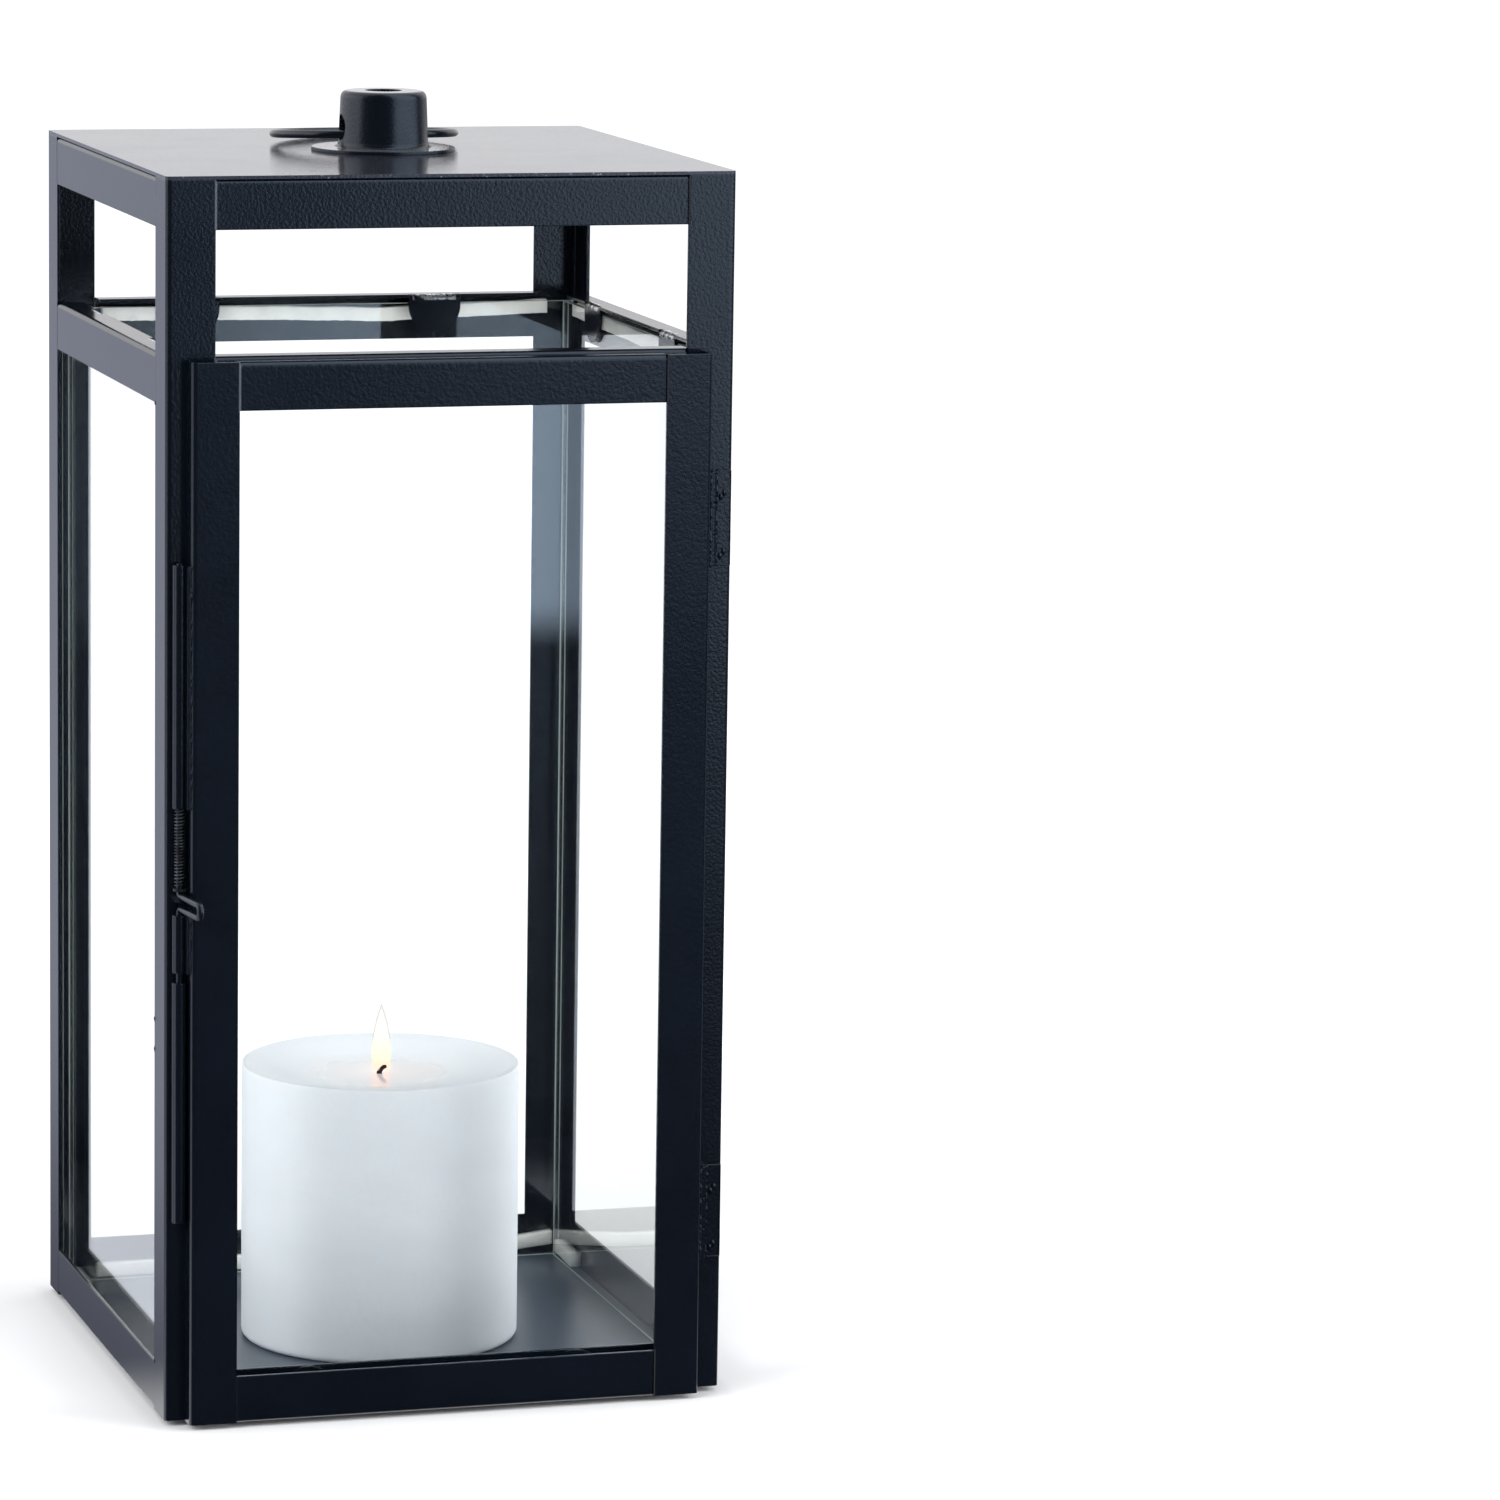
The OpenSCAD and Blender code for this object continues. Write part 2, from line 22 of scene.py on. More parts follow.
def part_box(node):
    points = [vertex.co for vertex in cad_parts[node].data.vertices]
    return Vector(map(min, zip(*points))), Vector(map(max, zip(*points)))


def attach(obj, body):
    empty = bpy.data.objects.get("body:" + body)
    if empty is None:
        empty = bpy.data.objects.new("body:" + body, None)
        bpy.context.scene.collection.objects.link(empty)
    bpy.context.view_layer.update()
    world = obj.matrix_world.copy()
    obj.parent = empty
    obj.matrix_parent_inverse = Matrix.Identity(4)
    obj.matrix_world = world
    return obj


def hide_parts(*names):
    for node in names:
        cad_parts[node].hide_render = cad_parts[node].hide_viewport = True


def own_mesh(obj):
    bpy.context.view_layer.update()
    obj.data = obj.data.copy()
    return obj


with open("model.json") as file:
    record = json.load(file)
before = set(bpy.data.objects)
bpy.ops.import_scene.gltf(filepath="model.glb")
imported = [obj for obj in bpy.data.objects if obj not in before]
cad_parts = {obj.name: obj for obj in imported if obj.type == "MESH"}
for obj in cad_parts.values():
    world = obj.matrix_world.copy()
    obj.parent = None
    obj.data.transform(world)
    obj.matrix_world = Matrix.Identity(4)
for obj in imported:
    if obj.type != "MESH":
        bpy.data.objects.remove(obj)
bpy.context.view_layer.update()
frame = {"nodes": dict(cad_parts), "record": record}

LOG = logging.getLogger("lantern")

Colour = tuple[float, float, float]
Point = tuple[float, float, float]
Pair = tuple[float, float]
Value = Union["Sig", float, int]
Socket = bpy.types.NodeSocket
Sockets = dict[Union[str, int], Any]
Material = bpy.types.Material
Mesh = bmesh.types.BMesh
Verts = list[bmesh.types.BMVert]


class Body(str, Enum):
    """Rigid bodies of the lantern that a piece can ride on."""

    LANTERN = "lantern"
    DOOR = "door"


class Slot(str, Enum):
    """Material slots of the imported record."""

    COATED_STEEL = "coated_steel"
    COATED_TRAY = "coated_tray"
    BARE_STEEL = "bare_steel"
    CLEAR_GLASS = "clear_glass"
    FOAM = "foam_strip"
    RUBBER = "pad_rubber"
    WAX = "wax"
    WICK = "wick_cotton"


# ---- shader graphs ----


class Sig:
    """A socket that takes part in Python expressions; each operator adds one Math node."""

    def __init__(self, graph: Graph, socket: Socket) -> None:
        """Wraps a socket.

        Args:
            graph: The graph that new nodes go into.
            socket: The output socket.
        """
        self.graph = graph
        self.socket = socket

    def _math(self, operation: str, first: Value, second: Value) -> Sig:
        """Adds a Math node.

        Args:
            operation: The node's operation.
            first: First value or socket.
            second: Second value or socket.

        Returns:
            The node's output.
        """
        return self.graph.value("ShaderNodeMath", {"operation": operation}, {0: first, 1: second})

    def __add__(self, other: Value) -> Sig:
        """Sum."""
        return self._math("ADD", self, other)

    __radd__ = __add__

    def __sub__(self, other: Value) -> Sig:
        """Difference."""
        return self._math("SUBTRACT", self, other)

    def __rsub__(self, other: Value) -> Sig:
        """Reflected difference."""
        return self._math("SUBTRACT", other, self)

    def __mul__(self, other: Value) -> Sig:
        """Product."""
        return self._math("MULTIPLY", self, other)

    __rmul__ = __mul__

    def __truediv__(self, other: Value) -> Sig:
        """Quotient."""
        return self._math("DIVIDE", self, other)

    def __rtruediv__(self, other: Value) -> Sig:
        """Reflected quotient."""
        return self._math("DIVIDE", other, self)

    def __pow__(self, other: Value) -> Sig:
        """Power."""
        return self._math("POWER", self, other)

    def __abs__(self) -> Sig:
        """Absolute value."""
        return self._math("ABSOLUTE", self, 0.0)

    def least(self, other: Value) -> Sig:
        """The smaller of two values."""
        return self._math("MINIMUM", self, other)

    def most(self, other: Value) -> Sig:
        """The larger of two values."""
        return self._math("MAXIMUM", self, other)

    def ease(self, low: float, high: float) -> Sig:
        """Rises smoothly from 0 at low to 1 at high.

        Args:
            low: Value that gives 0; it may be the larger one.
            high: Value that gives 1.

        Returns:
            The eased value.
        """
        return self.graph.value(
            "ShaderNodeMapRange", {"interpolation_type": "SMOOTHSTEP"},
            {"Value": self, "From Min": low, "From Max": high, "To Min": 0.0, "To Max": 1.0})

    def axes(self) -> tuple[Sig, Sig, Sig]:
        """The three components of a vector."""
        split = self.graph.node("ShaderNodeSeparateXYZ", None, {0: self})
        x, y, z = (Sig(self.graph, output) for output in split.outputs)
        return x, y, z

    def stretch(self, x: float, y: float, z: float) -> Sig:
        """The vector with its components multiplied."""
        return self.graph.value("ShaderNodeVectorMath", {"operation": "MULTIPLY"}, {0: self, 1: (x, y, z)})

    def speckle(self, size: float, detail: float, rough: float) -> Sig:
        """Noise read at the vector.

        Args:
            size: Size of its features, in metres.
            detail: Octaves.
            rough: Weight of the finer octaves.

        Returns:
            The noise, about 0 to 1 round 0.5.
        """
        return self.graph.value("ShaderNodeTexNoise", {"noise_dimensions": "3D"},
                                {"Vector": self, "Scale": 1.0 / size, "Detail": detail,
                                 "Roughness": rough})

    def cells(self, size: float) -> Sig:
        """Distance from the vector to the nearest of many scattered points, in steps of size metres."""
        return self.graph.value("ShaderNodeTexVoronoi", {"feature": "F1"},
                                {"Vector": self, "Scale": 1.0 / size}, "Distance")


class Graph:
    """Node tree of one material or world; every node of it comes from one method."""

    def __init__(self, owner: Material | bpy.types.World) -> None:
        """Turns on the nodes of a material or world and empties its tree.

        Args:
            owner: The material or world.
        """
        owner.use_nodes = True
        self.owner = owner
        self.tree = owner.node_tree
        self.tree.nodes.clear()
        self.path: bpy.types.Node | None = None

    @classmethod
    def named(cls, name: str) -> Graph:
        """The empty graph of a new material of that name."""
        return cls(bpy.data.materials.new(name))

    def node(self, kind: str, settings: dict[str, Any] | None = None,
             sockets: Sockets | None = None) -> bpy.types.Node:
        """Adds a node, sets its settings first, then its sockets.

        Args:
            kind: Blender's node type.
            settings: Properties of the node; "stops" holds a ramp's (position, colour) pairs.
            sockets: A value, Sig or socket for each input, by identifier, name or index.

        Returns:
            The new node.
        """
        made = self.tree.nodes.new(kind)
        for key, value in (settings or {}).items():
            if key == "stops":
                elements = made.color_ramp.elements
                while len(elements) < len(value):
                    elements.new(1.0)
                for element, (place, colour) in zip(elements, value):
                    element.position = place
                    element.color = (*colour, 1.0)
            else:
                setattr(made, key, value)
        for key, value in (sockets or {}).items():
            socket = made.inputs[key] if isinstance(key, int) else next(
                (s for s in made.inputs if s.identifier == key), None) or made.inputs[key]
            source = value.socket if isinstance(value, Sig) else value
            if isinstance(source, Socket):
                self.tree.links.new(source, socket)
            elif isinstance(source, tuple) and len(source) == 3 and socket.type == "RGBA":
                socket.default_value = (*source, 1.0)
            else:
                socket.default_value = source
        return made

    def value(self, kind: str, settings: dict[str, Any] | None = None,
              sockets: Sockets | None = None, output: str | int = 0) -> Sig:
        """Adds a node and wraps one of its outputs.

        Args:
            kind: Blender's node type.
            settings: As for node().
            sockets: As for node().
            output: Name or index of the output.

        Returns:
            The wrapped output.
        """
        return Sig(self, self.node(kind, settings, sockets).outputs[output])

    def ray(self, kind: str) -> Sig:
        """The output of that name of the graph's one Light Path node."""
        self.path = self.path or self.node("ShaderNodeLightPath")
        return Sig(self, self.path.outputs[kind])

    def place(self) -> Sig:
        """Position in the object's own frame, which is the model's frame at rest."""
        return self.value("ShaderNodeTexCoord", output="Object")

    def blend(self, factor: Value, first: Any, second: Any) -> Sig:
        """A colour between two others.

        Args:
            factor: 0 gives the first, 1 the second.
            first: Colour or socket.
            second: Colour or socket.

        Returns:
            The mixed colour.
        """
        return self.value("ShaderNodeMix", {"data_type": "RGBA"},
                          {"Factor_Float": factor, "A_Color": first, "B_Color": second}, "Result")

    def rounded(self, radius: float) -> Sig:
        """The surface's normal with its edges rounded by a radius."""
        return self.value("ShaderNodeBevel", {"samples": 4}, {"Radius": radius})

    def bump(self, height: Sig, depth: float, strength: float = 1.0, rounded: Sig | None = None) -> Sig:
        """A normal from a height.

        Args:
            height: The height, in units of depth.
            depth: Metres that one unit of height stands for.
            strength: Share of the bump that shows.
            rounded: Normal that the bump is laid on, or None for the surface's own.

        Returns:
            The normal.
        """
        sockets: Sockets = {"Strength": strength, "Distance": depth, "Height": height}
        if rounded is not None:
            sockets["Normal"] = rounded
        return self.value("ShaderNodeBump", None, sockets, "Normal")

    def principled(self, sockets: Sockets) -> Socket:
        """The output of a new Principled shader with these sockets."""
        return self.node("ShaderNodeBsdfPrincipled", None, sockets).outputs[0]

    def light(self, kind: str, colour: Colour | Sig, strength: float) -> Socket:
        """The output of a new Emission or Background shader."""
        return self.node(kind, None, {"Color": colour, "Strength": strength}).outputs[0]

    def either(self, factor: Value, first: Socket, second: Socket) -> Socket:
        """The mix of two shaders; factor 0 gives the first, 1 the second."""
        return self.node("ShaderNodeMixShader", None, {0: factor, 1: first, 2: second}).outputs[0]

    def finish(self, surface: Socket, kind: str = "ShaderNodeOutputMaterial") -> Any:
        """Links a shader to the tree's output and returns the material or world."""
        self.node(kind, None, {"Surface": surface})
        return self.owner


# ---- finishes ----


@dataclass(frozen=True)
class Chip:
    """A place where the coating has flaked off a fold."""

    centre: Point
    half: Point


@dataclass(frozen=True)
class Seams:
    """Butt joints of uprights and rails: a ridge at a rail's low end, coloured as a painted highlight that
    fades out low down, and a groove at its high end.
    """

    spans: tuple[tuple[int, float, float], ...]
    levels: tuple[Pair, ...]
    half: float = 0.00060
    depth: float = 0.00045
    # Heights over which the ridge's painted highlight fades in, from the bottom up.
    highlight_heights: Pair = (0.10, 0.33)
    # Colour of the painted highlight along the ridges.
    ridge_highlight_colour: Colour = (0.085, 0.095, 0.115)
    groove_colour: Colour = (0.001, 0.001, 0.001)

    def lines(self, place: Sig) -> tuple[Sig, Sig]:
        """Where the joints run.

        Args:
            place: Position in the model's frame.

        Returns:
            Two masks, the ridges and the grooves, each 1 in the middle of its line; the ridge mask fades
            out towards the bottom, where no painted highlight is wanted.
        """
        axes = place.axes()
        ridge: Value = 0.0
        groove: Value = 0.0
        level: Value = 0.0
        for axis, low, high in self.spans:
            ridge = abs(axes[axis] - low).ease(self.half, 0.2 * self.half).most(ridge)
            groove = abs(axes[axis] - high).ease(self.half, 0.2 * self.half).most(groove)
        for low, high in self.levels:
            reach = (high - low) / 2
            level = abs(axes[2] - (low + high) / 2).ease(reach + 0.0001, reach - 0.0002).most(level)
        return ridge * level * axes[2].ease(*self.highlight_heights), groove * level


@dataclass(frozen=True)
class CoatedSteel:
    """Satin black coating on folded steel, with its fine orange-peel skin and flakes at tight folds."""

    name: str
    colour: Colour
    rough: float
    skin: float = 0.00004
    skin_size: float = 0.0011
    cloud_size: float = 0.045
    flake_size: float = 0.0022
    lean: float = 0.0
    fold_r: float = 0.0006
    flat_rough: float = 0.0
    # Painted highlight: lighter colour for faces that look straight up.
    top_highlight_colour: Colour = (0.085, 0.090, 0.105)
    # Light specks in patches, standing both for dust and for painted glints off the coating's grain.
    dust_and_glints: float = 0.0
    speck_size: float = 0.0017
    speck_patch_size: float = 0.0035
    dust_and_glint_colour: Colour = (0.55, 0.56, 0.60)
    bare_colour: Colour = (0.72, 0.73, 0.74)
    chips: tuple[Chip, ...] = ()
    seams: Seams | None = None

    def chip_mask(self, place: Sig) -> Sig | None:
        """Where the coating is gone.

        Args:
            place: Position in the model's frame.

        Returns:
            A mask that is 1 on bare metal, or None without chips.
        """
        if not self.chips:
            return None
        x, y, z = place.axes()
        total: Sig | None = None
        for chip in self.chips:
            near = 1.0
            for axis, centre, half in zip((x, y, z), chip.centre, chip.half):
                near = abs(axis - centre).ease(half, 0.7 * half) * near
            total = near if total is None else total.most(near)
        ragged = place.stretch(1.0, 1.0, 0.6).speckle(self.flake_size, 4.0, 0.7).ease(0.43, 0.55)
        return total * ragged

    def material(self) -> Material:
        """Builds the material.

        Returns:
            The material.
        """
        graph = Graph.named(self.name)
        place = graph.place()
        skin = place.speckle(self.skin_size, 1.0, 0.5)
        cloud = place.speckle(self.cloud_size, 3.0, 0.6)
        tint = graph.blend(cloud.ease(0.3, 0.7) * 0.8, self.colour, tuple(1.3 * c for c in self.colour))
        rough = self.rough + (cloud - 0.5) * 0.06 + (skin - 0.5) * 0.05
        _, _, z = place.axes()
        height = skin * self.skin + z * self.lean
        if self.seams is not None:
            ridge, groove = self.seams.lines(place)
            height = height + (ridge * 0.5 - groove) * self.seams.depth
            # Painted highlight: the ridge line is coloured lighter, as if its rounded step caught the
            # light.
            tint = graph.blend(ridge, tint, self.seams.ridge_highlight_colour)
            tint = graph.blend(groove, tint, self.seams.groove_colour)
        if self.flat_rough:
            upward = graph.value("ShaderNodeNewGeometry", output="True Normal").axes()[2]
            flat = upward.ease(0.90, 0.99)
            # Painted highlight: faces that look straight up are coloured lighter, as if lit from above.
            tint = graph.blend(flat, tint, self.top_highlight_colour)
            rough = rough + flat * (self.flat_rough - self.rough)
        if self.dust_and_glints:
            # Dust and painted glints: scattered light specks, in patches, stand both for dust on the
            # coating and for glints off its grain.
            grains = place.cells(self.speck_size).ease(0.26, 0.12)
            speck_patches = place.speckle(self.speck_patch_size, 2.0, 0.5).ease(0.48, 0.58)
            tint = graph.blend(grains * speck_patches * self.dust_and_glints, tint, self.dust_and_glint_colour)
        metal: Value = 0.0
        bare = self.chip_mask(place)
        if bare is not None:
            tint = graph.blend(bare, tint, self.bare_colour)
            rough = rough + bare * 0.05
            metal = bare * 0.9
        return graph.finish(graph.principled({
            "Base Color": tint, "Roughness": rough, "Metallic": metal, "IOR": 1.5,
            "Normal": graph.bump(height, 1.0, rounded=graph.rounded(self.fold_r))}))


@dataclass(frozen=True)
class BareSteel:
    """Dull bare spring wire with drawn streaks."""

    name: str
    colour: Colour = (0.10, 0.105, 0.115)
    stained: Colour = (0.03, 0.03, 0.03)

    def material(self) -> Material:
        """Builds the material.

        Returns:
            The material.
        """
        graph = Graph.named(self.name)
        place = graph.place()
        streak = place.stretch(1.0, 1.0, 0.25).speckle(0.0004, 3.0, 0.6)
        stain = place.speckle(0.004, 3.0, 0.6).ease(0.42, 0.62)
        return graph.finish(graph.principled({
            "Base Color": graph.blend(stain, self.colour, self.stained), "Metallic": 0.75,
            "Roughness": 0.22 + streak * 0.2, "Normal": graph.bump(streak, 0.00002, 0.5)}))


@dataclass(frozen=True)
class ClearGlass:
    """Clear float glass with a faint green body, a trace of smears and ground edges."""

    name: str
    box: Sequence[Point]
    colour: Colour = (0.985, 0.999, 0.993)
    ground: Colour = (0.46, 0.53, 0.51)
    straight: Colour = (0.985, 0.99, 0.988)
    edge: float = 0.00016

    def rim(self, place: Sig) -> Sig:
        """The narrow ground faces round the pane.

        Args:
            place: Position in the model's frame.

        Returns:
            A mask that is 1 on the ground edge.
        """
        low, high = self.box
        thin = min(range(3), key=lambda axis: high[axis] - low[axis])
        found: Value = 0.0
        for axis, value in enumerate(place.axes()):
            if axis != thin:
                half = (high[axis] - low[axis]) / 2
                off = abs(value - (low[axis] + high[axis]) / 2)
                found = off.ease(half - self.edge, half - 0.6 * self.edge).most(found)
        return found

    def material(self) -> Material:
        """Builds the material; lamps and soft light pass straight through it to what is inside.

        Returns:
            The material.
        """
        graph = Graph.named(self.name)
        place = graph.place()
        smear = place.stretch(1.0, 1.0, 0.35).speckle(0.03, 4.0, 0.65).ease(0.5, 0.8)
        glass = graph.principled({
            "Base Color": graph.blend(smear, self.colour, tuple(0.985 * c for c in self.colour)),
            "Roughness": 0.0, "IOR": 1.5, "Transmission Weight": 1.0})
        clear = graph.node("ShaderNodeBsdfTransparent", None, {"Color": self.straight}).outputs[0]
        ground = graph.principled({"Base Color": self.ground, "Roughness": 0.4, "IOR": 1.5})
        edged = graph.either(self.rim(place), glass, ground)
        soft = graph.either(graph.ray("Is Diffuse Ray"), edged, clear)
        return graph.finish(graph.either(graph.ray("Is Shadow Ray"), soft, clear))


@dataclass(frozen=True)
class Foam:
    """Off-white closed-cell foam tape, a little grubby, with its cells showing."""

    name: str
    cell: float = 0.0007
    colour: Colour = (0.88, 0.885, 0.85)
    grime_colour: Colour = (0.52, 0.52, 0.46)

    def material(self) -> Material:
        """Builds the material.

        Returns:
            The material.
        """
        graph = Graph.named(self.name)
        place = graph.place()
        cells = place.cells(self.cell)
        grime = place.speckle(0.012, 4.0, 0.6).ease(0.45, 0.75)
        return graph.finish(graph.principled({
            "Base Color": graph.blend(grime * 0.35, self.colour, self.grime_colour), "Roughness": 0.8,
            "Normal": graph.bump(cells, 0.00015, 0.6)}))


@dataclass(frozen=True)
class Rubber:
    """Matt black moulded rubber."""

    name: str
    colour: Colour = (0.012, 0.012, 0.012)
    scuffed: Colour = (0.03, 0.03, 0.03)

    def material(self) -> Material:
        """Builds the material.

        Returns:
            The material.
        """
        graph = Graph.named(self.name)
        grain = graph.place().speckle(0.0008, 3.0, 0.6)
        return graph.finish(graph.principled({
            "Base Color": graph.blend(grain.ease(0.4, 0.7), self.colour, self.scuffed),
            "Roughness": 0.7 + grain * 0.2, "Normal": graph.bump(grain, 0.0001, 0.5)}))


@dataclass(frozen=True)
class Wax:
    """Cool white paraffin: cloudy on its side, wet in the melted pool round the wick, where a warm tint is
    partly melted wax and partly a painted glow from the flame.
    """

    name: str
    axis: Pair
    top: float
    pool_r: float
    colour: Colour = (0.84, 0.885, 0.935)
    # Melted wax's own tone together with a painted warm glow from the flame.
    melted_and_glow_colour: Colour = (0.78, 0.74, 0.73)

    def material(self) -> Material:
        """Builds the material.

        Returns:
            The material.
        """
        graph = Graph.named(self.name)
        place = graph.place()
        x, y, z = place.axes()
        away = ((x - self.axis[0]) ** 2.0 + (y - self.axis[1]) ** 2.0) ** 0.5
        wobble = (place.speckle(0.014, 2.0, 0.5) - 0.5) * 0.012
        wet = (away + wobble).ease(self.pool_r * 1.25, self.pool_r * 0.55)
        wet = wet * z.ease(self.top - 0.009, self.top - 0.0055)
        cloud = place.stretch(1.0, 1.0, 2.2).speckle(0.05, 4.0, 0.55).ease(0.3, 0.75)
        mottle = place.speckle(0.006, 3.0, 0.6)
        frost = place.speckle(0.0010, 2.0, 0.6).ease(0.35, 0.70)
        body = graph.blend(cloud, self.colour, tuple(0.935 * c for c in self.colour))
        body = graph.blend(frost * 0.5, body, tuple(0.90 * c for c in self.colour))
        # Partly melted wax, partly painted light: the pool is tinted warm as if lit by the flame.
        melted = graph.blend(wet * 0.55, body, self.melted_and_glow_colour)
        return graph.finish(graph.principled({
            "Base Color": melted, "Roughness": 0.42 + mottle * 0.1 - wet * 0.36, "IOR": 1.44,
            "Subsurface Weight": 0.35, "Subsurface Scale": 0.008, "Subsurface Radius": (1.0, 0.85, 0.75),
            "Normal": graph.bump(mottle, 0.0001, 0.25)}))


@dataclass(frozen=True)
class CharredCotton:
    """Braided wick, charred black."""

    name: str
    colour: Colour = (0.006, 0.005, 0.005)
    ash_colour: Colour = (0.03, 0.025, 0.022)

    def material(self) -> Material:
        """Builds the material.

        Returns:
            The material.
        """
        graph = Graph.named(self.name)
        ash = graph.place().speckle(0.0004, 3.0, 0.7)
        return graph.finish(graph.principled({
            "Base Color": graph.blend(ash.ease(0.5, 0.8), self.colour, self.ash_colour),
            "Roughness": 0.9, "Normal": graph.bump(ash, 0.0002, 0.8)}))


@dataclass(frozen=True)
class Flame:
    """Burning gas: clear at the foot and glowing above, from warm to near white."""

    name: str
    foot: float
    tip: float
    glow: Colour
    cover: float
    strength: float = 1.7
    stops: tuple[tuple[float, Colour], ...] = (
        (0.0, (1.0, 0.60, 0.48)), (0.14, (1.0, 0.60, 0.46)), (0.34, (1.0, 0.78, 0.56)))
    full: float = 0.52

    def material(self) -> Material:
        """Builds the material.

        Returns:
            The material.
        """
        graph = Graph.named(self.name)
        _, _, z = graph.place().axes()
        height = (z - self.foot) / (self.tip - self.foot)
        stops = [*self.stops, (self.full, self.glow)]
        tint = graph.value("ShaderNodeValToRGB", {"stops": stops}, {"Fac": height})
        return graph.finish(graph.principled({
            "Base Color": (0.0, 0.0, 0.0), "Roughness": 1.0, "Specular IOR Level": 0.0,
            "Emission Color": tint, "Emission Strength": self.strength,
            "Alpha": height.ease(-0.08, 0.10) * self.cover}))


# ---- meshes ----


def new_object(name: str, data: bpy.types.ID | None) -> bpy.types.Object:
    """Makes an object and puts it in the scene.

    Args:
        name: Name of the object.
        data: Its mesh, lamp or camera.

    Returns:
        The new object.
    """
    made = bpy.data.objects.new(name, data)
    bpy.context.scene.collection.objects.link(made)
    return made


def mesh_object(name: str, mesh: Mesh, material: Material) -> bpy.types.Object:
    """Makes an object of a mesh, which is freed here.

    Args:
        name: Name of the object.
        mesh: Its mesh, in the model's frame.
        material: Its material.

    Returns:
        The new object.
    """
    data = bpy.data.meshes.new(name)
    mesh.to_mesh(data)
    mesh.free()
    data.materials.append(material)
    return new_object(name, data)


def add_piece(name: str, mesh: Mesh, material: Material, body: Body,
              replaces: Sequence[str] = ()) -> bpy.types.Object:
    """Makes a smoothly shaded object of a mesh, lets it ride on a body and reports it.

    Args:
        name: Name of the piece.
        mesh: Its mesh, in the model's frame; it is freed here.
        material: Its material.
        body: The body it moves with.
        replaces: CAD nodes that it stands for.

    Returns:
        The new object.
    """
    bmesh.ops.recalc_face_normals(mesh, faces=mesh.faces)
    for face in mesh.faces:
        face.smooth = True
    made = mesh_object(name, mesh, material)
    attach(made, body.value)
    if replaces:
        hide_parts(*replaces)
    LOG.info("%s: %d faces, rides on %s", name, len(made.data.polygons), body.value)
    return made


def lathe(mesh: Mesh, outline: Sequence[Pair], axis: Pair,
          steps: int) -> Verts:
    """Turns an outline of (radius, height) points round a vertical axis; radius 0 closes an end.

    Args:
        mesh: The mesh to add to.
        outline: Points from one end to the other.
        axis: X and Y of the axis.
        steps: Points in one turn.

    Returns:
        The new vertices.
    """
    rings: list[Verts] = []
    for radius, height in outline:
        count = 1 if radius <= 0.0 else steps
        turns = [2 * math.pi * k / steps for k in range(count)]
        rings.append([mesh.verts.new((axis[0] + radius * math.cos(turn), axis[1] + radius * math.sin(turn),
                                      height)) for turn in turns])
    for low, high in zip(rings, rings[1:]):
        for k in range(steps):
            corners = [low[k % len(low)], low[(k + 1) % len(low)],
                       high[(k + 1) % len(high)], high[k % len(high)]]
            unique = list(dict.fromkeys(corners))
            if len(unique) >= 3:
                mesh.faces.new(unique)
    return [v for ring in rings for v in ring]


def skin_over(mesh: Mesh, rings: Sequence[Verts]) -> None:
    """Joins closed rings of equal counts with faces, and caps the first and the last.

    Args:
        mesh: The mesh to add to.
        rings: The vertices of each ring, in order.
    """
    for low, high in zip(rings, rings[1:]):
        for j in range(len(low)):
            beside = (j + 1) % len(low)
            mesh.faces.new((low[j], low[beside], high[beside], high[j]))
    mesh.faces.new(list(reversed(rings[0])))
    mesh.faces.new(rings[-1])


def sweep(mesh: Mesh, path: Sequence[Vector], radii: Sequence[float], sides: int) -> None:
    """Runs a round section along a path and caps its ends.

    Args:
        mesh: The mesh to add to.
        path: Points of the middle line.
        radii: Radius at each point.
        sides: Points round the section.
    """
    rings: list[Verts] = []
    turns = [2 * math.pi * j / sides for j in range(sides)]
    normal: Vector | None = None
    for k, point in enumerate(path):
        ahead = (path[min(k + 1, len(path) - 1)] - path[max(k - 1, 0)]).normalized()
        if normal is None:
            normal = ahead.orthogonal().normalized()
        normal = (normal - ahead * normal.dot(ahead)).normalized()
        across = ahead.cross(normal)
        spokes = [math.cos(turn) * normal + math.sin(turn) * across for turn in turns]
        rings.append([mesh.verts.new(point + radii[k] * spoke) for spoke in spokes])
    skin_over(mesh, rings)


def bead(mesh: Mesh, centre: Vector, size: Vector, seed: int) -> None:
    """A lumpy drop of weld metal under the coating.

    Args:
        mesh: The mesh to add to.
        centre: Its middle.
        size: Its half sizes along X, Y and Z.
        seed: Picks its lumps.
    """
    drop = bmesh.ops.create_icosphere(mesh, subdivisions=2, radius=1.0)["verts"]
    for vert in drop:
        lump = 1.0 + 0.28 * noise.noise(vert.co * 1.7 + Vector((seed * 3.1, 0.0, 0.0)))
        vert.co = vert.co * size * lump + centre


# ---- sub-assemblies ----


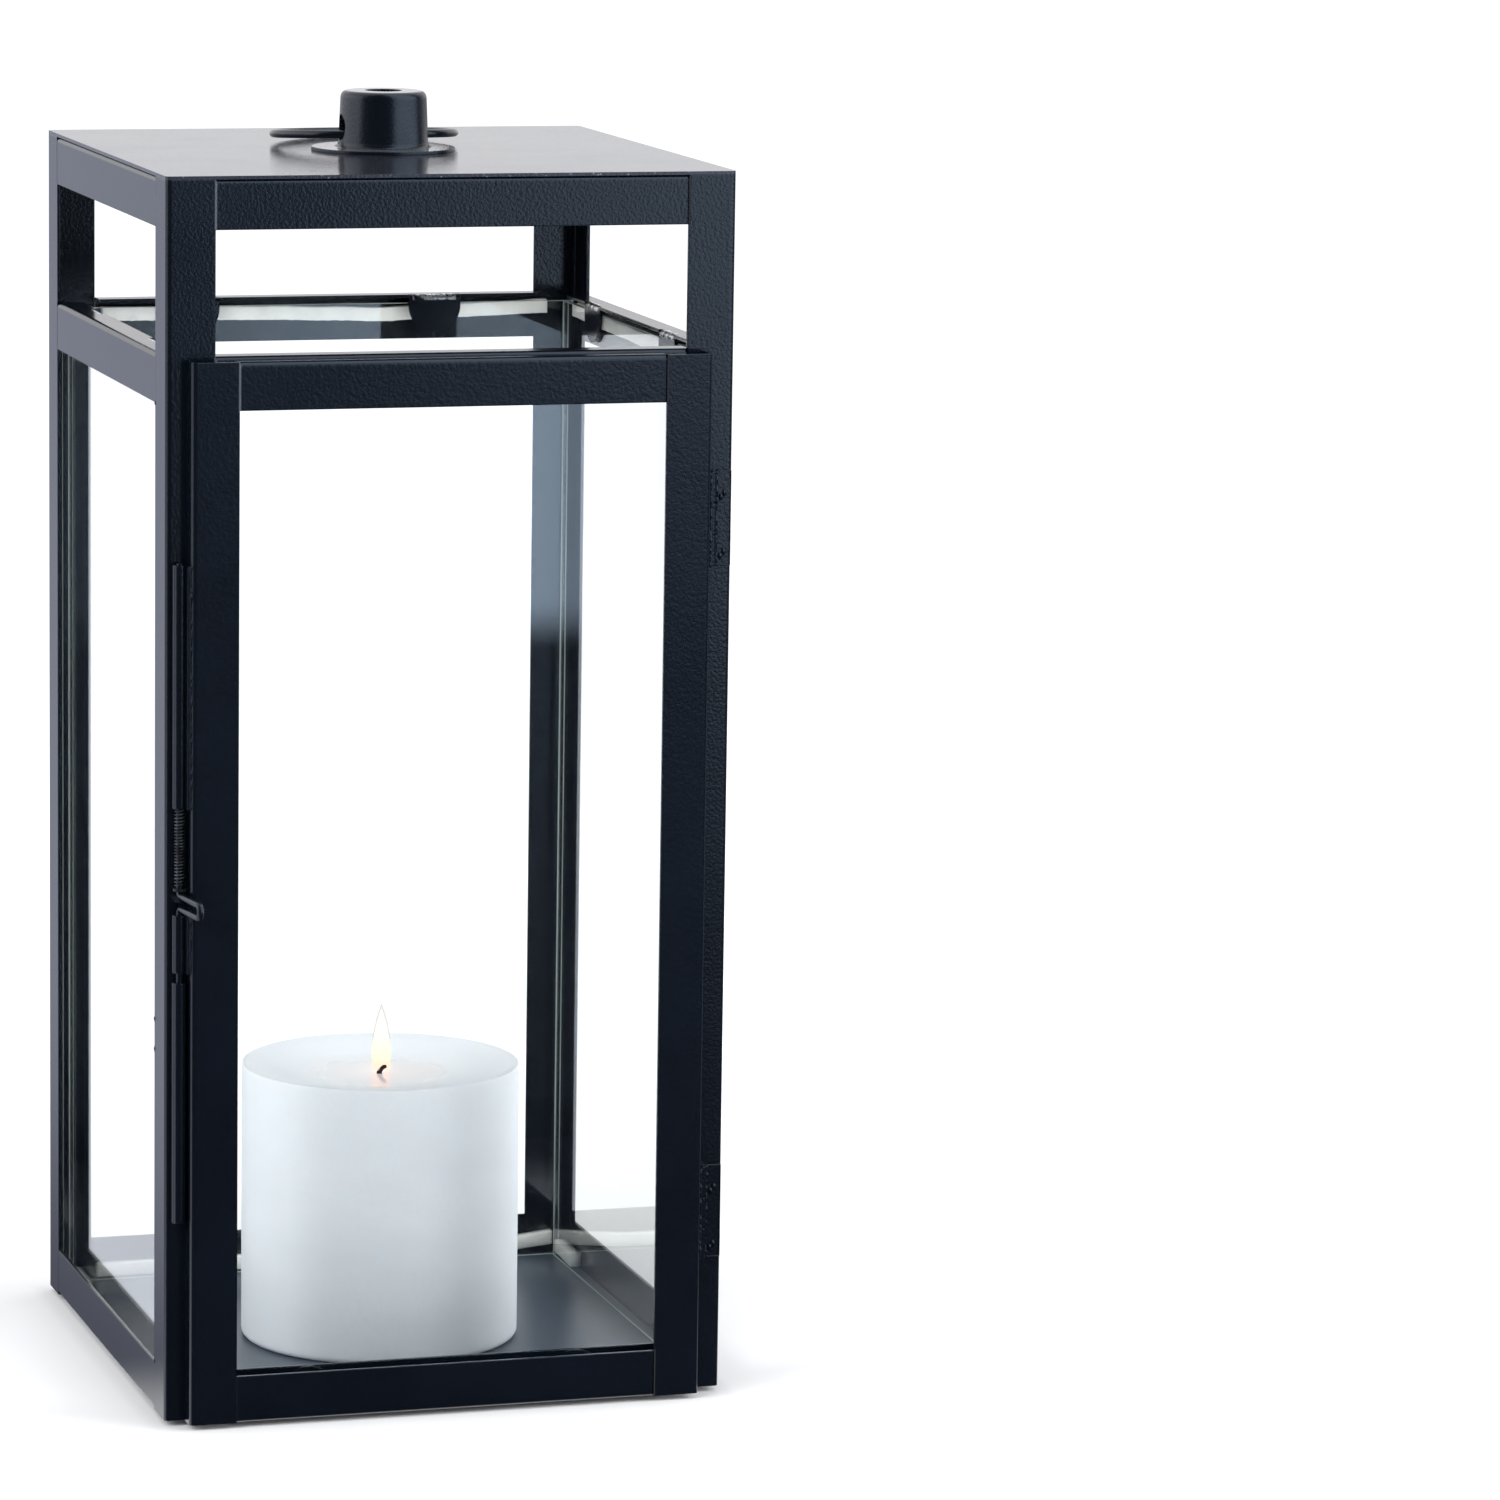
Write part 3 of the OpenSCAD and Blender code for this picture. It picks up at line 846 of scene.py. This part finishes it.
@dataclass
class Steelwork:
    """Posts, rails, roof, knob, ring, door frame, hinges and latch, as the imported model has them."""

    fold: Pair = (0.0915, 0.3706)
    back_tabs: Pair = (0.043, -0.048)
    side_tab: float = 0.048
    flake: Point = (0.0088, 0.0024, 0.0019)
    post_leg: float = 0.017
    stile_face: float = 0.0165
    ink: Colour = (0.0022, 0.0038, 0.0072)
    satin: float = 0.17

    @staticmethod
    def levels(*rails: str) -> tuple[Pair, ...]:
        """Lowest and highest height of each rail."""
        return tuple((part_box(rail)[0][2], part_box(rail)[1][2]) for rail in rails)

    def frame_seams(self) -> Seams:
        """Finds the joints between the posts and the rails of the frame.

        Returns:
            The joints.
        """
        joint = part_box("post_front_right")[1][0] - self.post_leg
        levels = self.levels("top_rail_back", "mid_rail_back", "bottom_rail_back")
        return Seams(((0, -joint, joint), (1, -joint, joint)), levels)

    def door_seams(self) -> Seams:
        """Finds the joints between the stiles and the rails of the door.

        Returns:
            The joints.
        """
        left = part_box("door_stile_latch")[0][0] + self.stile_face
        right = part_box("door_stile_hinge")[1][0] - self.stile_face
        return Seams(((0, left, right),), self.levels("door_rail_top", "door_rail_bottom"))

    def chips(self) -> tuple[Chip, ...]:
        """Places the flakes on the folds of the six tabs of the middle rails.

        Returns:
            The flaked places.
        """
        out, z = self.fold
        along, deep, drop = self.flake
        found = [Chip((x, out, z), (along, deep, drop)) for x in self.back_tabs]
        for side in (-self.side_tab, self.side_tab):
            found += [Chip((wall, side, z), (deep, along, drop)) for wall in (-out, out)]
        return tuple(found)

    def coatings(self) -> dict[str, Material]:
        """Makes the finishes of the coated steel.

        Returns:
            The materials, by where they go.
        """
        ink, satin, seams = self.ink, self.satin, self.frame_seams()
        made = {
            "plain": CoatedSteel("satin_black_coating", ink, satin),
            "frame": CoatedSteel("satin_black_frame", ink, satin, seams=seams),
            "tabs": CoatedSteel("satin_black_frame_flaked", ink, satin, chips=self.chips(), seams=seams),
            "door": CoatedSteel("satin_black_door", ink, satin, skin=0.000028, lean=0.020,
                                seams=self.door_seams()),
            "roof": CoatedSteel("satin_black_roof", (0.020, 0.022, 0.030), 0.13, fold_r=0.0002, dust_and_glints=0.22),
            "knob": CoatedSteel("satin_black_knob", ink, 0.28, flat_rough=0.09),
            "tray": CoatedSteel("satin_tray", (0.046, 0.060, 0.082), 0.30, skin=0.00002)}
        return {where: finish.material() for where, finish in made.items()}

    def dress(self) -> Material:
        """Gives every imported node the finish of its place, or else that of its material slot.

        Returns:
            The plain black coating.
        """
        coat = self.coatings()
        by_slot = {
            Slot.COATED_TRAY.value: coat["tray"],
            Slot.BARE_STEEL.value: BareSteel("dull_wire").material(),
            Slot.FOAM.value: Foam("foam_tape").material(),
            Slot.RUBBER.value: Rubber("pad_rubber").material()}
        by_name = (
            (("post_", "top_rail_", "bottom_rail_", "mid_rail_front"), coat["frame"]),
            (("mid_rail_",), coat["tabs"]), (("door_stile_", "door_rail_"), coat["door"]),
            (("roof_plate",), coat["roof"]), (("knob",), coat["knob"]))
        for part in frame["record"]["subparts"]:
            name, slot = part["node"], part["material_slot"]
            if slot == Slot.CLEAR_GLASS.value:
                chosen = ClearGlass("float_glass_" + name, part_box(name)).material()
            else:
                chosen = next((finish for starts, finish in by_name if name.startswith(starts)),
                              by_slot.get(slot, coat["plain"]))
            for held in frame["nodes"][name].material_slots:
                held.material = chosen
            LOG.info("%s: %s", name, chosen.name)
        return coat["plain"]


@dataclass
class WeldMarks:
    """Weld metal and paint fillets where leaves, guides, rails and posts join, under the same coating."""

    seed: int = 7
    fillet_r: float = 0.00026
    weld_r: float = 0.00042
    proud: float = 0.00005
    leaf_t: float = 0.0008
    leaf_width: float = 0.0053
    plug_half: Point = (0.0008, 0.00042, 0.0013)
    plug_in: float = 0.0021
    plug_slant: Pair = (0.0006, 0.0007)
    plugs: Pair = (0.0085, 0.0040)
    corner_half: Point = (0.0004, 0.0009, 0.0009)
    corner_at: Pair = (0.0001, 0.0168)
    corner_z: tuple[float, ...] = (0.3538, 0.1405, 0.1300, 0.0192)
    door_leaf_at: Pair = (0.0903, -0.1066)
    guide_in: float = 0.0010
    step: float = 0.0006
    lumps: Pair = (700.0, 900.0)

    def line(self, mesh: Mesh, start: Vector, end: Vector, radius: float, rough: float) -> None:
        """Runs a thin fillet from one point to another.

        Args:
            mesh: The mesh to add to.
            start: First point.
            end: Last point.
            radius: Radius of the fillet.
            rough: 0 gives an even line; 1 gives a lumpy one with pits.
        """
        steps = max(6, round((end - start).length / self.step))
        path, radii = [], []
        for k in range(steps + 1):
            point = start.lerp(end, k / steps)
            spot = point * self.lumps[0]
            jitter = Vector((noise.noise(spot), 0.0, noise.noise(spot + Vector((9.0, 0.0, 0.0)))))
            path.append(point + jitter * radius * 0.5 * rough)
            swell = 1.0 + rough * 1.1 * noise.noise(point * self.lumps[1] + Vector((0.0, 4.0, 0.0)))
            radii.append(radius * max(0.15, swell))
        sweep(mesh, path, radii, 8)

    def post_leaf(self, mesh: Mesh, node: str, dice: random.Random) -> None:
        """Outlines one hinge leaf on its post and adds its two plug welds.

        Args:
            mesh: The mesh to add to.
            node: The leaf's node.
            dice: Where the welds' lumps come from.
        """
        low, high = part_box(node)
        left, right = high[0] - self.leaf_width, high[0] - self.fillet_r
        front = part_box("post_front_right")[0][1] - self.leaf_t - self.proud
        for x in (left, right):
            self.line(mesh, Vector((x, front, low[2])), Vector((x, front, high[2])),
                      self.weld_r if x == left else self.fillet_r, 1.0 if x == left else 0.1)
        for z in (low[2], high[2]):
            self.line(mesh, Vector((left, front, z)), Vector((right, front, z)), self.fillet_r, 0.15)
        for z in (high[2] - self.plugs[0], low[2] + self.plugs[1]):
            for side in (-1.0, 1.0):
                centre = Vector((left + self.plug_in + side * self.plug_slant[0], front,
                                 z + side * self.plug_slant[1]))
                bead(mesh, centre, Vector(self.plug_half), dice.randrange(99))

    def build(self, material: Material) -> None:
        """Adds the marks.

        Args:
            material: The coating of the steel they lie on.
        """
        dice = random.Random(self.seed)
        frame_marks = bmesh.new()
        for node in ("hinge_leaf_post_upper", "hinge_leaf_post_lower"):
            self.post_leaf(frame_marks, node, dice)
        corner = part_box("post_front_left")[0]
        for z in self.corner_z:
            for side in (-1.0, 1.0):
                centre = Vector((side * (-corner[0] - self.corner_at[0]), corner[1] + self.corner_at[1], z))
                bead(frame_marks, centre, Vector(self.corner_half), dice.randrange(99))
        add_piece("weld_marks_frame", frame_marks, material, Body.LANTERN)
        door_marks = bmesh.new()
        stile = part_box("door_stile_latch")[0]
        guide_at = (stile[0] + self.proud, stile[1] + self.guide_in)
        for node in ("hinge_leaf_door_upper", "hinge_leaf_door_lower",
                     "latch_guide_low", "latch_guide_long", "latch_guide_end"):
            at = self.door_leaf_at if node.startswith("hinge") else guide_at
            low, high = (Vector((*at, end[2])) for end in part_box(node))
            self.line(door_marks, low, high, self.weld_r, 1.0)
        add_piece("weld_marks_door", door_marks, material, Body.DOOR)


@dataclass(frozen=True)
class Tape:
    """Where one foam strip lies on its wall.

    The course holds (share of the length, height of the strip's foot) points, joined smoothly; loose says
    how much the strip wanders, where 0 is cut and laid straight.
    """

    span: Pair
    course: tuple[Pair, ...]
    seed: float
    loose: float = 1.0

    def foot(self, share: float) -> float:
        """Eases between the points of the course.

        Args:
            share: Share of the strip's length.

        Returns:
            Height of the strip's foot there.
        """
        for (a, low), (b, high) in zip(self.course, self.course[1:]):
            if share <= b:
                t = max(0.0, min(1.0, (share - a) / (b - a)))
                return low + (high - low) * t * t * (3.0 - 2.0 * t)
        return self.course[-1][1]


@dataclass
class FoamStrips:
    """Soft tape pressed between the fixed panes and the steel; it wanders, and its edge frays."""

    inner: float = 0.0943
    outer: float = 0.0988
    height: float = 0.0050
    lip: float = 0.0004
    slack: Pair = (0.0001, 0.0002)
    wander: float = 0.00035
    swell: float = 0.0003
    fray: float = 0.0004
    steps: int = 260
    tapes: tuple[tuple[str, tuple[Tape, ...]], ...] = (
        ("back", (
            Tape((-0.081, 0.0868),
                 ((0.0, 0.3628), (0.3, 0.3624), (0.62, 0.3612), (0.8, 0.3622), (1.0, 0.3632)), 1.0),
            Tape((-0.0815, 0.0925), ((0.0, 0.0050), (0.80, 0.0050), (1.10, 0.0090)), 2.0, 0.4))),
        ("left", (
            Tape((-0.081, 0.081), ((0.0, 0.3620), (0.5, 0.3628), (1.0, 0.3624)), 3.0),
            Tape((0.0697, 0.0915), ((0.0, 0.0046), (1.0, 0.0050)), 4.0, 0.1))),
        ("right", (
            Tape((-0.081, 0.081), ((0.0, 0.3628), (0.4, 0.3618), (1.0, 0.3630)), 5.0),
            Tape((0.0697, 0.0915), ((0.0, 0.0046), (1.0, 0.0052)), 6.0, 0.1))))

    def strip(self, mesh: Mesh, wall: str, tape: Tape) -> None:
        """Adds one strip.

        Args:
            mesh: The mesh to add to.
            wall: back, left or right.
            tape: Where it lies.
        """
        inner, lip, outer = self.inner + self.slack[0], self.inner + self.lip, self.outer - self.slack[1]
        rings: list[Verts] = []
        for k in range(self.steps + 1):
            share = k / self.steps
            along = tape.span[0] + (tape.span[1] - tape.span[0]) * share
            wave = noise.noise(Vector((along * 60.0, tape.seed, 0.0))) * self.wander * tape.loose
            swell = noise.noise(Vector((along * 45.0, tape.seed, 5.0))) * self.swell * tape.loose
            fray = max(0.0, noise.noise(Vector((along * 420.0, tape.seed, 9.0)))) * self.fray * tape.loose
            foot = tape.foot(share)
            low, high = foot + wave - fray, foot + self.height + wave + swell
            corners = ((inner, low + self.lip), (lip, low), (outer, low),
                       (outer, high), (lip, high), (inner, high - self.lip))
            rings.append([mesh.verts.new(self.place(wall, along, depth, z)) for depth, z in corners])
        skin_over(mesh, rings)

    @staticmethod
    def place(wall: str, along: float, depth: float, z: float) -> Point:
        """Turns a place on a wall into a point of the model."""
        return {"back": (along, depth, z), "left": (-depth, along, z), "right": (depth, along, z)}[wall]

    def build(self, material: Material) -> None:
        """Adds the strips of the three fixed panes, each in place of its plain solid.

        Args:
            material: The foam.
        """
        for wall, tapes in self.tapes:
            mesh = bmesh.new()
            for tape in tapes:
                self.strip(mesh, wall, tape)
            add_piece("foam_tape_" + wall, mesh, material, Body.LANTERN, ("foam_" + wall,))


@dataclass
class LatchSpring:
    """Open coil spring round the latch rod; its top is held by the long guide tube."""

    axis: Pair = (-0.0957, -0.1029)
    foot: float = 0.1899
    top: float = 0.2173
    coil_r: float = 0.0016
    wire_r: float = 0.00029
    turns: int = 24
    turn_steps: int = 20
    closed_ends: float = 0.012
    lift: float = 0.012

    def build(self, material: Material) -> None:
        """Adds the spring as one rigid coil that rides on the door.

        Args:
            material: The wire's finish.
        """
        mesh = bmesh.new()
        steps = self.turns * self.turn_steps
        low, high = self.foot + self.wire_r, self.top - self.wire_r
        path = []
        for k in range(steps + 1):
            share = k / steps
            eased = share + self.closed_ends * math.sin(2 * math.pi * share)
            turn = 2 * math.pi * self.turns * share
            path.append(Vector((self.axis[0] + self.coil_r * math.cos(turn),
                                self.axis[1] + self.coil_r * math.sin(turn), low + (high - low) * eased)))
        sweep(mesh, path, [self.wire_r] * len(path), 8)
        made = add_piece("coil_spring", mesh, material, Body.DOOR, ("latch_spring",))
        (self.top - self.foot - self.lift) / (self.top - self.foot)
        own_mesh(made)


@dataclass
class PillarCandle:
    """Pillar candle with a hollow burnt into its top, its wick and its flame."""

    axis: Pair = (0.0, -0.0045)
    foot: float = 0.0043
    height: float = 0.100
    radius: float = 0.050
    edge: float = 0.0022
    lip: float = 0.0006
    rim: float = 0.0482
    pool_r: float = 0.0260
    pool_depth: float = 0.0042
    pool_brim: float = 0.0004
    side_wave: float = 0.00012
    top_wave: float = 0.00035
    wick_r: float = 0.00095
    wick_sunk: float = 0.003
    wick_rise: float = 0.0058
    wick_bend: Pair = (0.0019, -0.0026)
    wick_off: float = 0.0008
    flame_r: float = 0.0035
    flame_foot: float = 0.0003
    flame_tip: float = 0.0255
    flame_lean: Pair = (0.0004, 0.0006)

    def outline(self) -> list[Pair]:
        """Outlines the candle's skin.

        Returns:
            Radius and height of its points, from the middle of the foot to the middle of the pool.
        """
        top = self.foot + self.height
        points = [(0.0, self.foot), (0.02, self.foot), (self.radius - self.edge - 0.004, self.foot)]
        for k in range(7):
            turn = math.pi / 2 * k / 6
            points.append((self.radius - self.edge * (1 - math.sin(turn)),
                           self.foot + self.edge * (1 - math.cos(turn))))
        points += [(self.radius, self.foot + self.height * k / 24) for k in range(1, 24)]
        for k in range(6):
            turn = math.pi / 2 * k / 5
            points.append((self.radius - self.lip * (1 - math.cos(turn)),
                           top - self.lip * (1 - math.sin(turn))))
        for k in range(1, 25):
            share = k / 24
            radius = self.rim * (1 - share)
            if radius > self.pool_r:
                t = (self.rim - radius) / (self.rim - self.pool_r)
                depth = (self.pool_depth - self.pool_brim) * t * t * (3 - 2 * t)
            else:
                depth = self.pool_depth
            points.append((radius, top - depth))
        return points

    def build(self) -> None:
        """Adds the candle, wick and flame."""
        top = self.foot + self.height
        mesh = bmesh.new()
        verts = lathe(mesh, self.outline(), self.axis, 144)
        for vert in verts:
            away = Vector((vert.co.x - self.axis[0], vert.co.y - self.axis[1], 0.0))
            if away.length > self.radius - 0.0005:
                vert.co -= away.normalized() * (self.side_wave * (1.0 + noise.noise(vert.co * 38.0)))
            elif vert.co.z > top - 0.02 and away.length > 0.004:
                share = min(1.0, max(0.0, (away.length - 0.012) / 0.02))
                vert.co.z -= self.top_wave * share * (0.5 + noise.noise(vert.co * 55.0))
        wax = Wax("paraffin_wax", self.axis, top, self.pool_r)
        add_piece("pillar_candle", mesh, wax.material(), Body.LANTERN, ("candle",))
        self.build_wick(top - self.pool_depth)
        self.build_flame(top - self.pool_depth)

    def build_wick(self, pool: float) -> None:
        """Adds the wick, bent over at its burnt end.

        Args:
            pool: Height of the melted wax.
        """
        mesh = bmesh.new()
        path, radii = [], []
        for k in range(17):
            share = k / 16
            lean = max(0.0, share - 0.4) / 0.6
            path.append(Vector((self.axis[0] - self.wick_off + self.wick_bend[0] * lean ** 1.2,
                                self.axis[1] - self.wick_off + self.wick_bend[1] * share ** 1.5,
                                pool - self.wick_sunk + self.wick_rise * math.sin(share * math.pi / 2))))
            lump = 0.00015 * noise.noise(Vector((share * 9, 0, 0)))
            radii.append(self.wick_r * (1.0 - 0.35 * share ** 3) + lump)
        sweep(mesh, path, radii, 12)
        cotton = CharredCotton("charred_cotton").material()
        add_piece("burnt_wick", mesh, cotton, Body.LANTERN, ("wick",))

    def flame_outline(self, foot: float, tip: float, inset: float) -> list[Pair]:
        """Radius and height of the flame's skin.

        Args:
            foot: Height of its lowest point.
            tip: Height of its tip.
            inset: How far inside the outer skin it runs.

        Returns:
            The points, from the foot to the tip.
        """
        points = [(0.0, foot + inset)]
        for k in range(1, 48):
            share = k / 48
            closing = min(1.0, share / 0.04) ** 0.35
            width = self.flame_r * closing * (0.96 + 0.04 * min(1.0, share / 0.3))
            width *= 1.0 - max(0.0, (share - 0.28) / 0.72) ** 1.95
            points.append((max(width - inset, 0.00005), foot + inset + (tip - foot - 4 * inset) * share))
        return [*points, (0.0, tip - 3 * inset)]

    def build_flame(self, pool: float) -> None:
        """Adds the flame: a pale mantle round a bright core.

        Args:
            pool: Height of the melted wax.
        """
        foot, tip = pool + self.flame_foot, pool + self.flame_tip
        axis = (self.axis[0] + self.flame_lean[0], self.axis[1] + self.flame_lean[1])
        for name, inset, glow, cover in (("flame_mantle", 0.0, (0.43, 0.395, 0.37), 0.50),
                                         ("flame_core", 0.00035, (1.0, 0.97, 0.90), 0.97)):
            mesh = bmesh.new()
            lathe(mesh, self.flame_outline(foot, tip, inset), axis, 40)
            finish = Flame(name + "_glow", foot, tip, glow, cover)
            made = add_piece(name, mesh, finish.material(), Body.LANTERN)
            made.visible_shadow = False


# ---- studio ----


@dataclass
class Studio:
    """Pale floor, white surround, soft lamps and the camera."""

    camera_at: Point = (-0.59066, -2.33804, 0.62665)
    yaw: float = 17.336178
    pitch: float = 9.604055
    roll: float = 0.913039
    focal_px: float = 6817.14
    picture_px: float = 1500.0
    sensor_mm: float = 36.0
    floor_half: float = 8.0
    paper: Colour = (0.84, 0.84, 0.85)
    paper_glow: float = 0.38
    floor_sheen: tuple[Colour, ...] = ((0.20, 0.21, 0.27), (0.57, 0.61, 0.74), (1.0, 1.05, 1.15))
    white: Colour = (1.0, 1.0, 1.0)
    past_glass: float = 1.22
    room: Colour = (0.97, 0.98, 1.0)
    room_light: float = 0.86
    dark_front: Colour = (0.02, 0.025, 0.04)
    bright_back: Colour = (1.0, 1.0, 1.03)
    window: Colour = (1.4, 1.77, 2.25)
    side_panel: Colour = (1.5, 1.6, 1.8)
    lamps_aim: Point = (0.0, 0.0, 0.18)
    lamps: tuple[tuple[str, Point, float, float], ...] = (
        ("left_lamp", (-1.7, -0.7, 1.2), 1.2, 26.0), ("right_lamp", (1.8, -1.1, 0.9), 1.2, 34.0),
        ("top_lamp", (0.1, 0.2, 2.2), 1.6, 6.0))

    def build_camera(self) -> None:
        """Adds the camera."""
        yaw, pitch, roll = (math.radians(v) for v in (self.yaw, self.pitch, self.roll))
        level = Vector((math.cos(yaw), -math.sin(yaw), 0.0))
        ahead = Vector((math.sin(yaw) * math.cos(pitch), math.cos(yaw) * math.cos(pitch),
                        -math.sin(pitch)))
        up = level.cross(ahead)
        right = level * math.cos(roll) + up * math.sin(roll)
        up = up * math.cos(roll) - level * math.sin(roll)
        data = bpy.data.cameras.new("camera")
        data.sensor_width = self.sensor_mm
        data.lens = self.focal_px / self.picture_px * self.sensor_mm
        data.clip_start, data.clip_end = 0.05, 50.0
        made = new_object("camera", data)
        turn = Matrix((right, up, -ahead)).transposed().to_4x4()
        made.matrix_world = Matrix.Translation(Vector(self.camera_at)) @ turn
        bpy.context.scene.camera = made

    @staticmethod
    def bounced(graph: Graph) -> Sig:
        """1 for a ray that a shiny surface has mirrored, also where it then passes through glass."""
        return graph.ray("Is Glossy Ray") * graph.ray("Glossy Depth").least(1.0)

    def floor_finish(self) -> Material:
        """Makes the floor's finish, which glows away from the lantern's foot and is dim in reflections;
        leaving the glow off under and near the foot paints a contact shadow there, and the mirrored floor
        is painted darker next to the lantern's left side.

        Returns:
            The material.
        """
        graph = Graph.named("pale_floor")
        x, y, _ = graph.place().axes()
        wide, deep = abs(x), abs(y)
        matt = graph.node("ShaderNodeBsdfDiffuse", None, {"Color": self.paper}).outputs[0]
        # Painted shadow: the floor's glow is left off under the lantern and fades in away from its foot.
        glow_beyond_painted_shadow = wide.ease(0.101, 0.108).most((0.0 - y).ease(0.106, 0.116)).most(y.ease(0.101, 0.108))
        glow_beyond_painted_shadow = glow_beyond_painted_shadow * (0.2 + wide.most(deep).ease(0.11, 0.50) * 0.8)
        glow = graph.light("ShaderNodeEmission", self.white, self.paper_glow)
        lifted = graph.node("ShaderNodeAddShader", None, {0: matt, 1: glow}).outputs[0]
        seen = graph.either(glow_beyond_painted_shadow, matt, lifted)
        dim, bright, sharp = self.floor_sheen
        # Painted shade in reflections: the mirrored floor is darker close to the lantern's left side.
        satin = graph.blend((0.0 - x).ease(0.09, 0.22), dim, bright)
        satin = graph.blend(graph.ray("Is Singular Ray"), satin, sharp)
        sheen = graph.light("ShaderNodeEmission", satin, 1.0)
        open_air = graph.node("ShaderNodeBsdfTransparent").outputs[0]
        mirrored = graph.either(y.ease(-0.09, 0.0), open_air, sheen)
        to_eye = graph.ray("Is Camera Ray").most(graph.ray("Is Transmission Ray"))
        return graph.finish(graph.either(self.bounced(graph), graph.either(to_eye, matt, seen), mirrored))

    def build_floor(self) -> None:
        """Adds the floor, which is white to the eye apart from the lantern's shadow, rendered and deepened
        by a painted shadow near its foot.
        """
        mesh = bmesh.new()
        bmesh.ops.create_grid(mesh, x_segments=1, y_segments=1, size=self.floor_half)
        mesh_object("studio_floor", mesh, self.floor_finish())

    def build_world(self) -> None:
        """Adds the surround: white to the eye, bright behind, and dark in front but for a soft window."""
        world = bpy.data.worlds.new("surround")
        bpy.context.scene.world = world
        graph = Graph(world)
        x, y, z = graph.value("ShaderNodeTexCoord", output="Generated").axes()
        behind = (y - 0.25 * x).ease(-0.12, 0.28)
        ahead = (0.0 - y).most(0.05)
        across = x / ahead
        raised = z / ahead + across * 0.010
        window = (across + graph.ray("Is Singular Ray") * 0.05).ease(0.235, 0.315) * across.ease(16.0, 6.0)
        window = window * raised.ease(-0.158, -0.149) * (1.0 - behind)
        panel = (0.0 - x).ease(0.5, 0.8) * y.ease(-0.35, -0.12) * z.ease(0.75, 0.45)
        far = graph.blend(behind, self.dark_front, self.bright_back)
        lit = graph.blend(panel, graph.blend(window, far, self.window), self.side_panel)
        mirrored, soft, plain, past_glass = (
            graph.light("ShaderNodeBackground", colour, strength) for colour, strength in (
                (lit, 1.0), (self.room, self.room_light),
                (self.white, 1.0), (self.white, self.past_glass)))
        through = graph.ray("Is Transmission Ray")
        to_eye = graph.ray("Is Camera Ray").most(through)
        straight = graph.either(to_eye, soft, graph.either(through, plain, past_glass))
        graph.finish(graph.either(self.bounced(graph), straight, mirrored), "ShaderNodeOutputWorld")

    def build_lamps(self) -> None:
        """Adds the soft lamps: at the left, at the right and overhead."""
        for name, at, size, power in self.lamps:
            data = bpy.data.lights.new(name, "AREA")
            data.shape, data.size, data.energy = "SQUARE", size, power
            made = new_object(name, data)
            made.location = at
            made.rotation_euler = (Vector(self.lamps_aim) - Vector(at)).to_track_quat("-Z", "Y").to_euler()
            made.visible_glossy = False

    def build(self) -> None:
        """Sets up the whole studio."""
        bpy.context.scene.view_settings.view_transform = "Standard"
        self.build_camera()
        self.build_floor()
        self.build_world()
        self.build_lamps()


def main() -> None:
    """Builds the studio and every piece in order."""
    logging.basicConfig(level=logging.INFO, format="%(name)s %(message)s")
    Studio().build()
    WeldMarks().build(Steelwork().dress())
    FoamStrips().build(Foam("foam_tape_wavy").material())
    LatchSpring().build(BareSteel("spring_wire").material())
    PillarCandle().build()


if __name__ == "__main__":
    main()
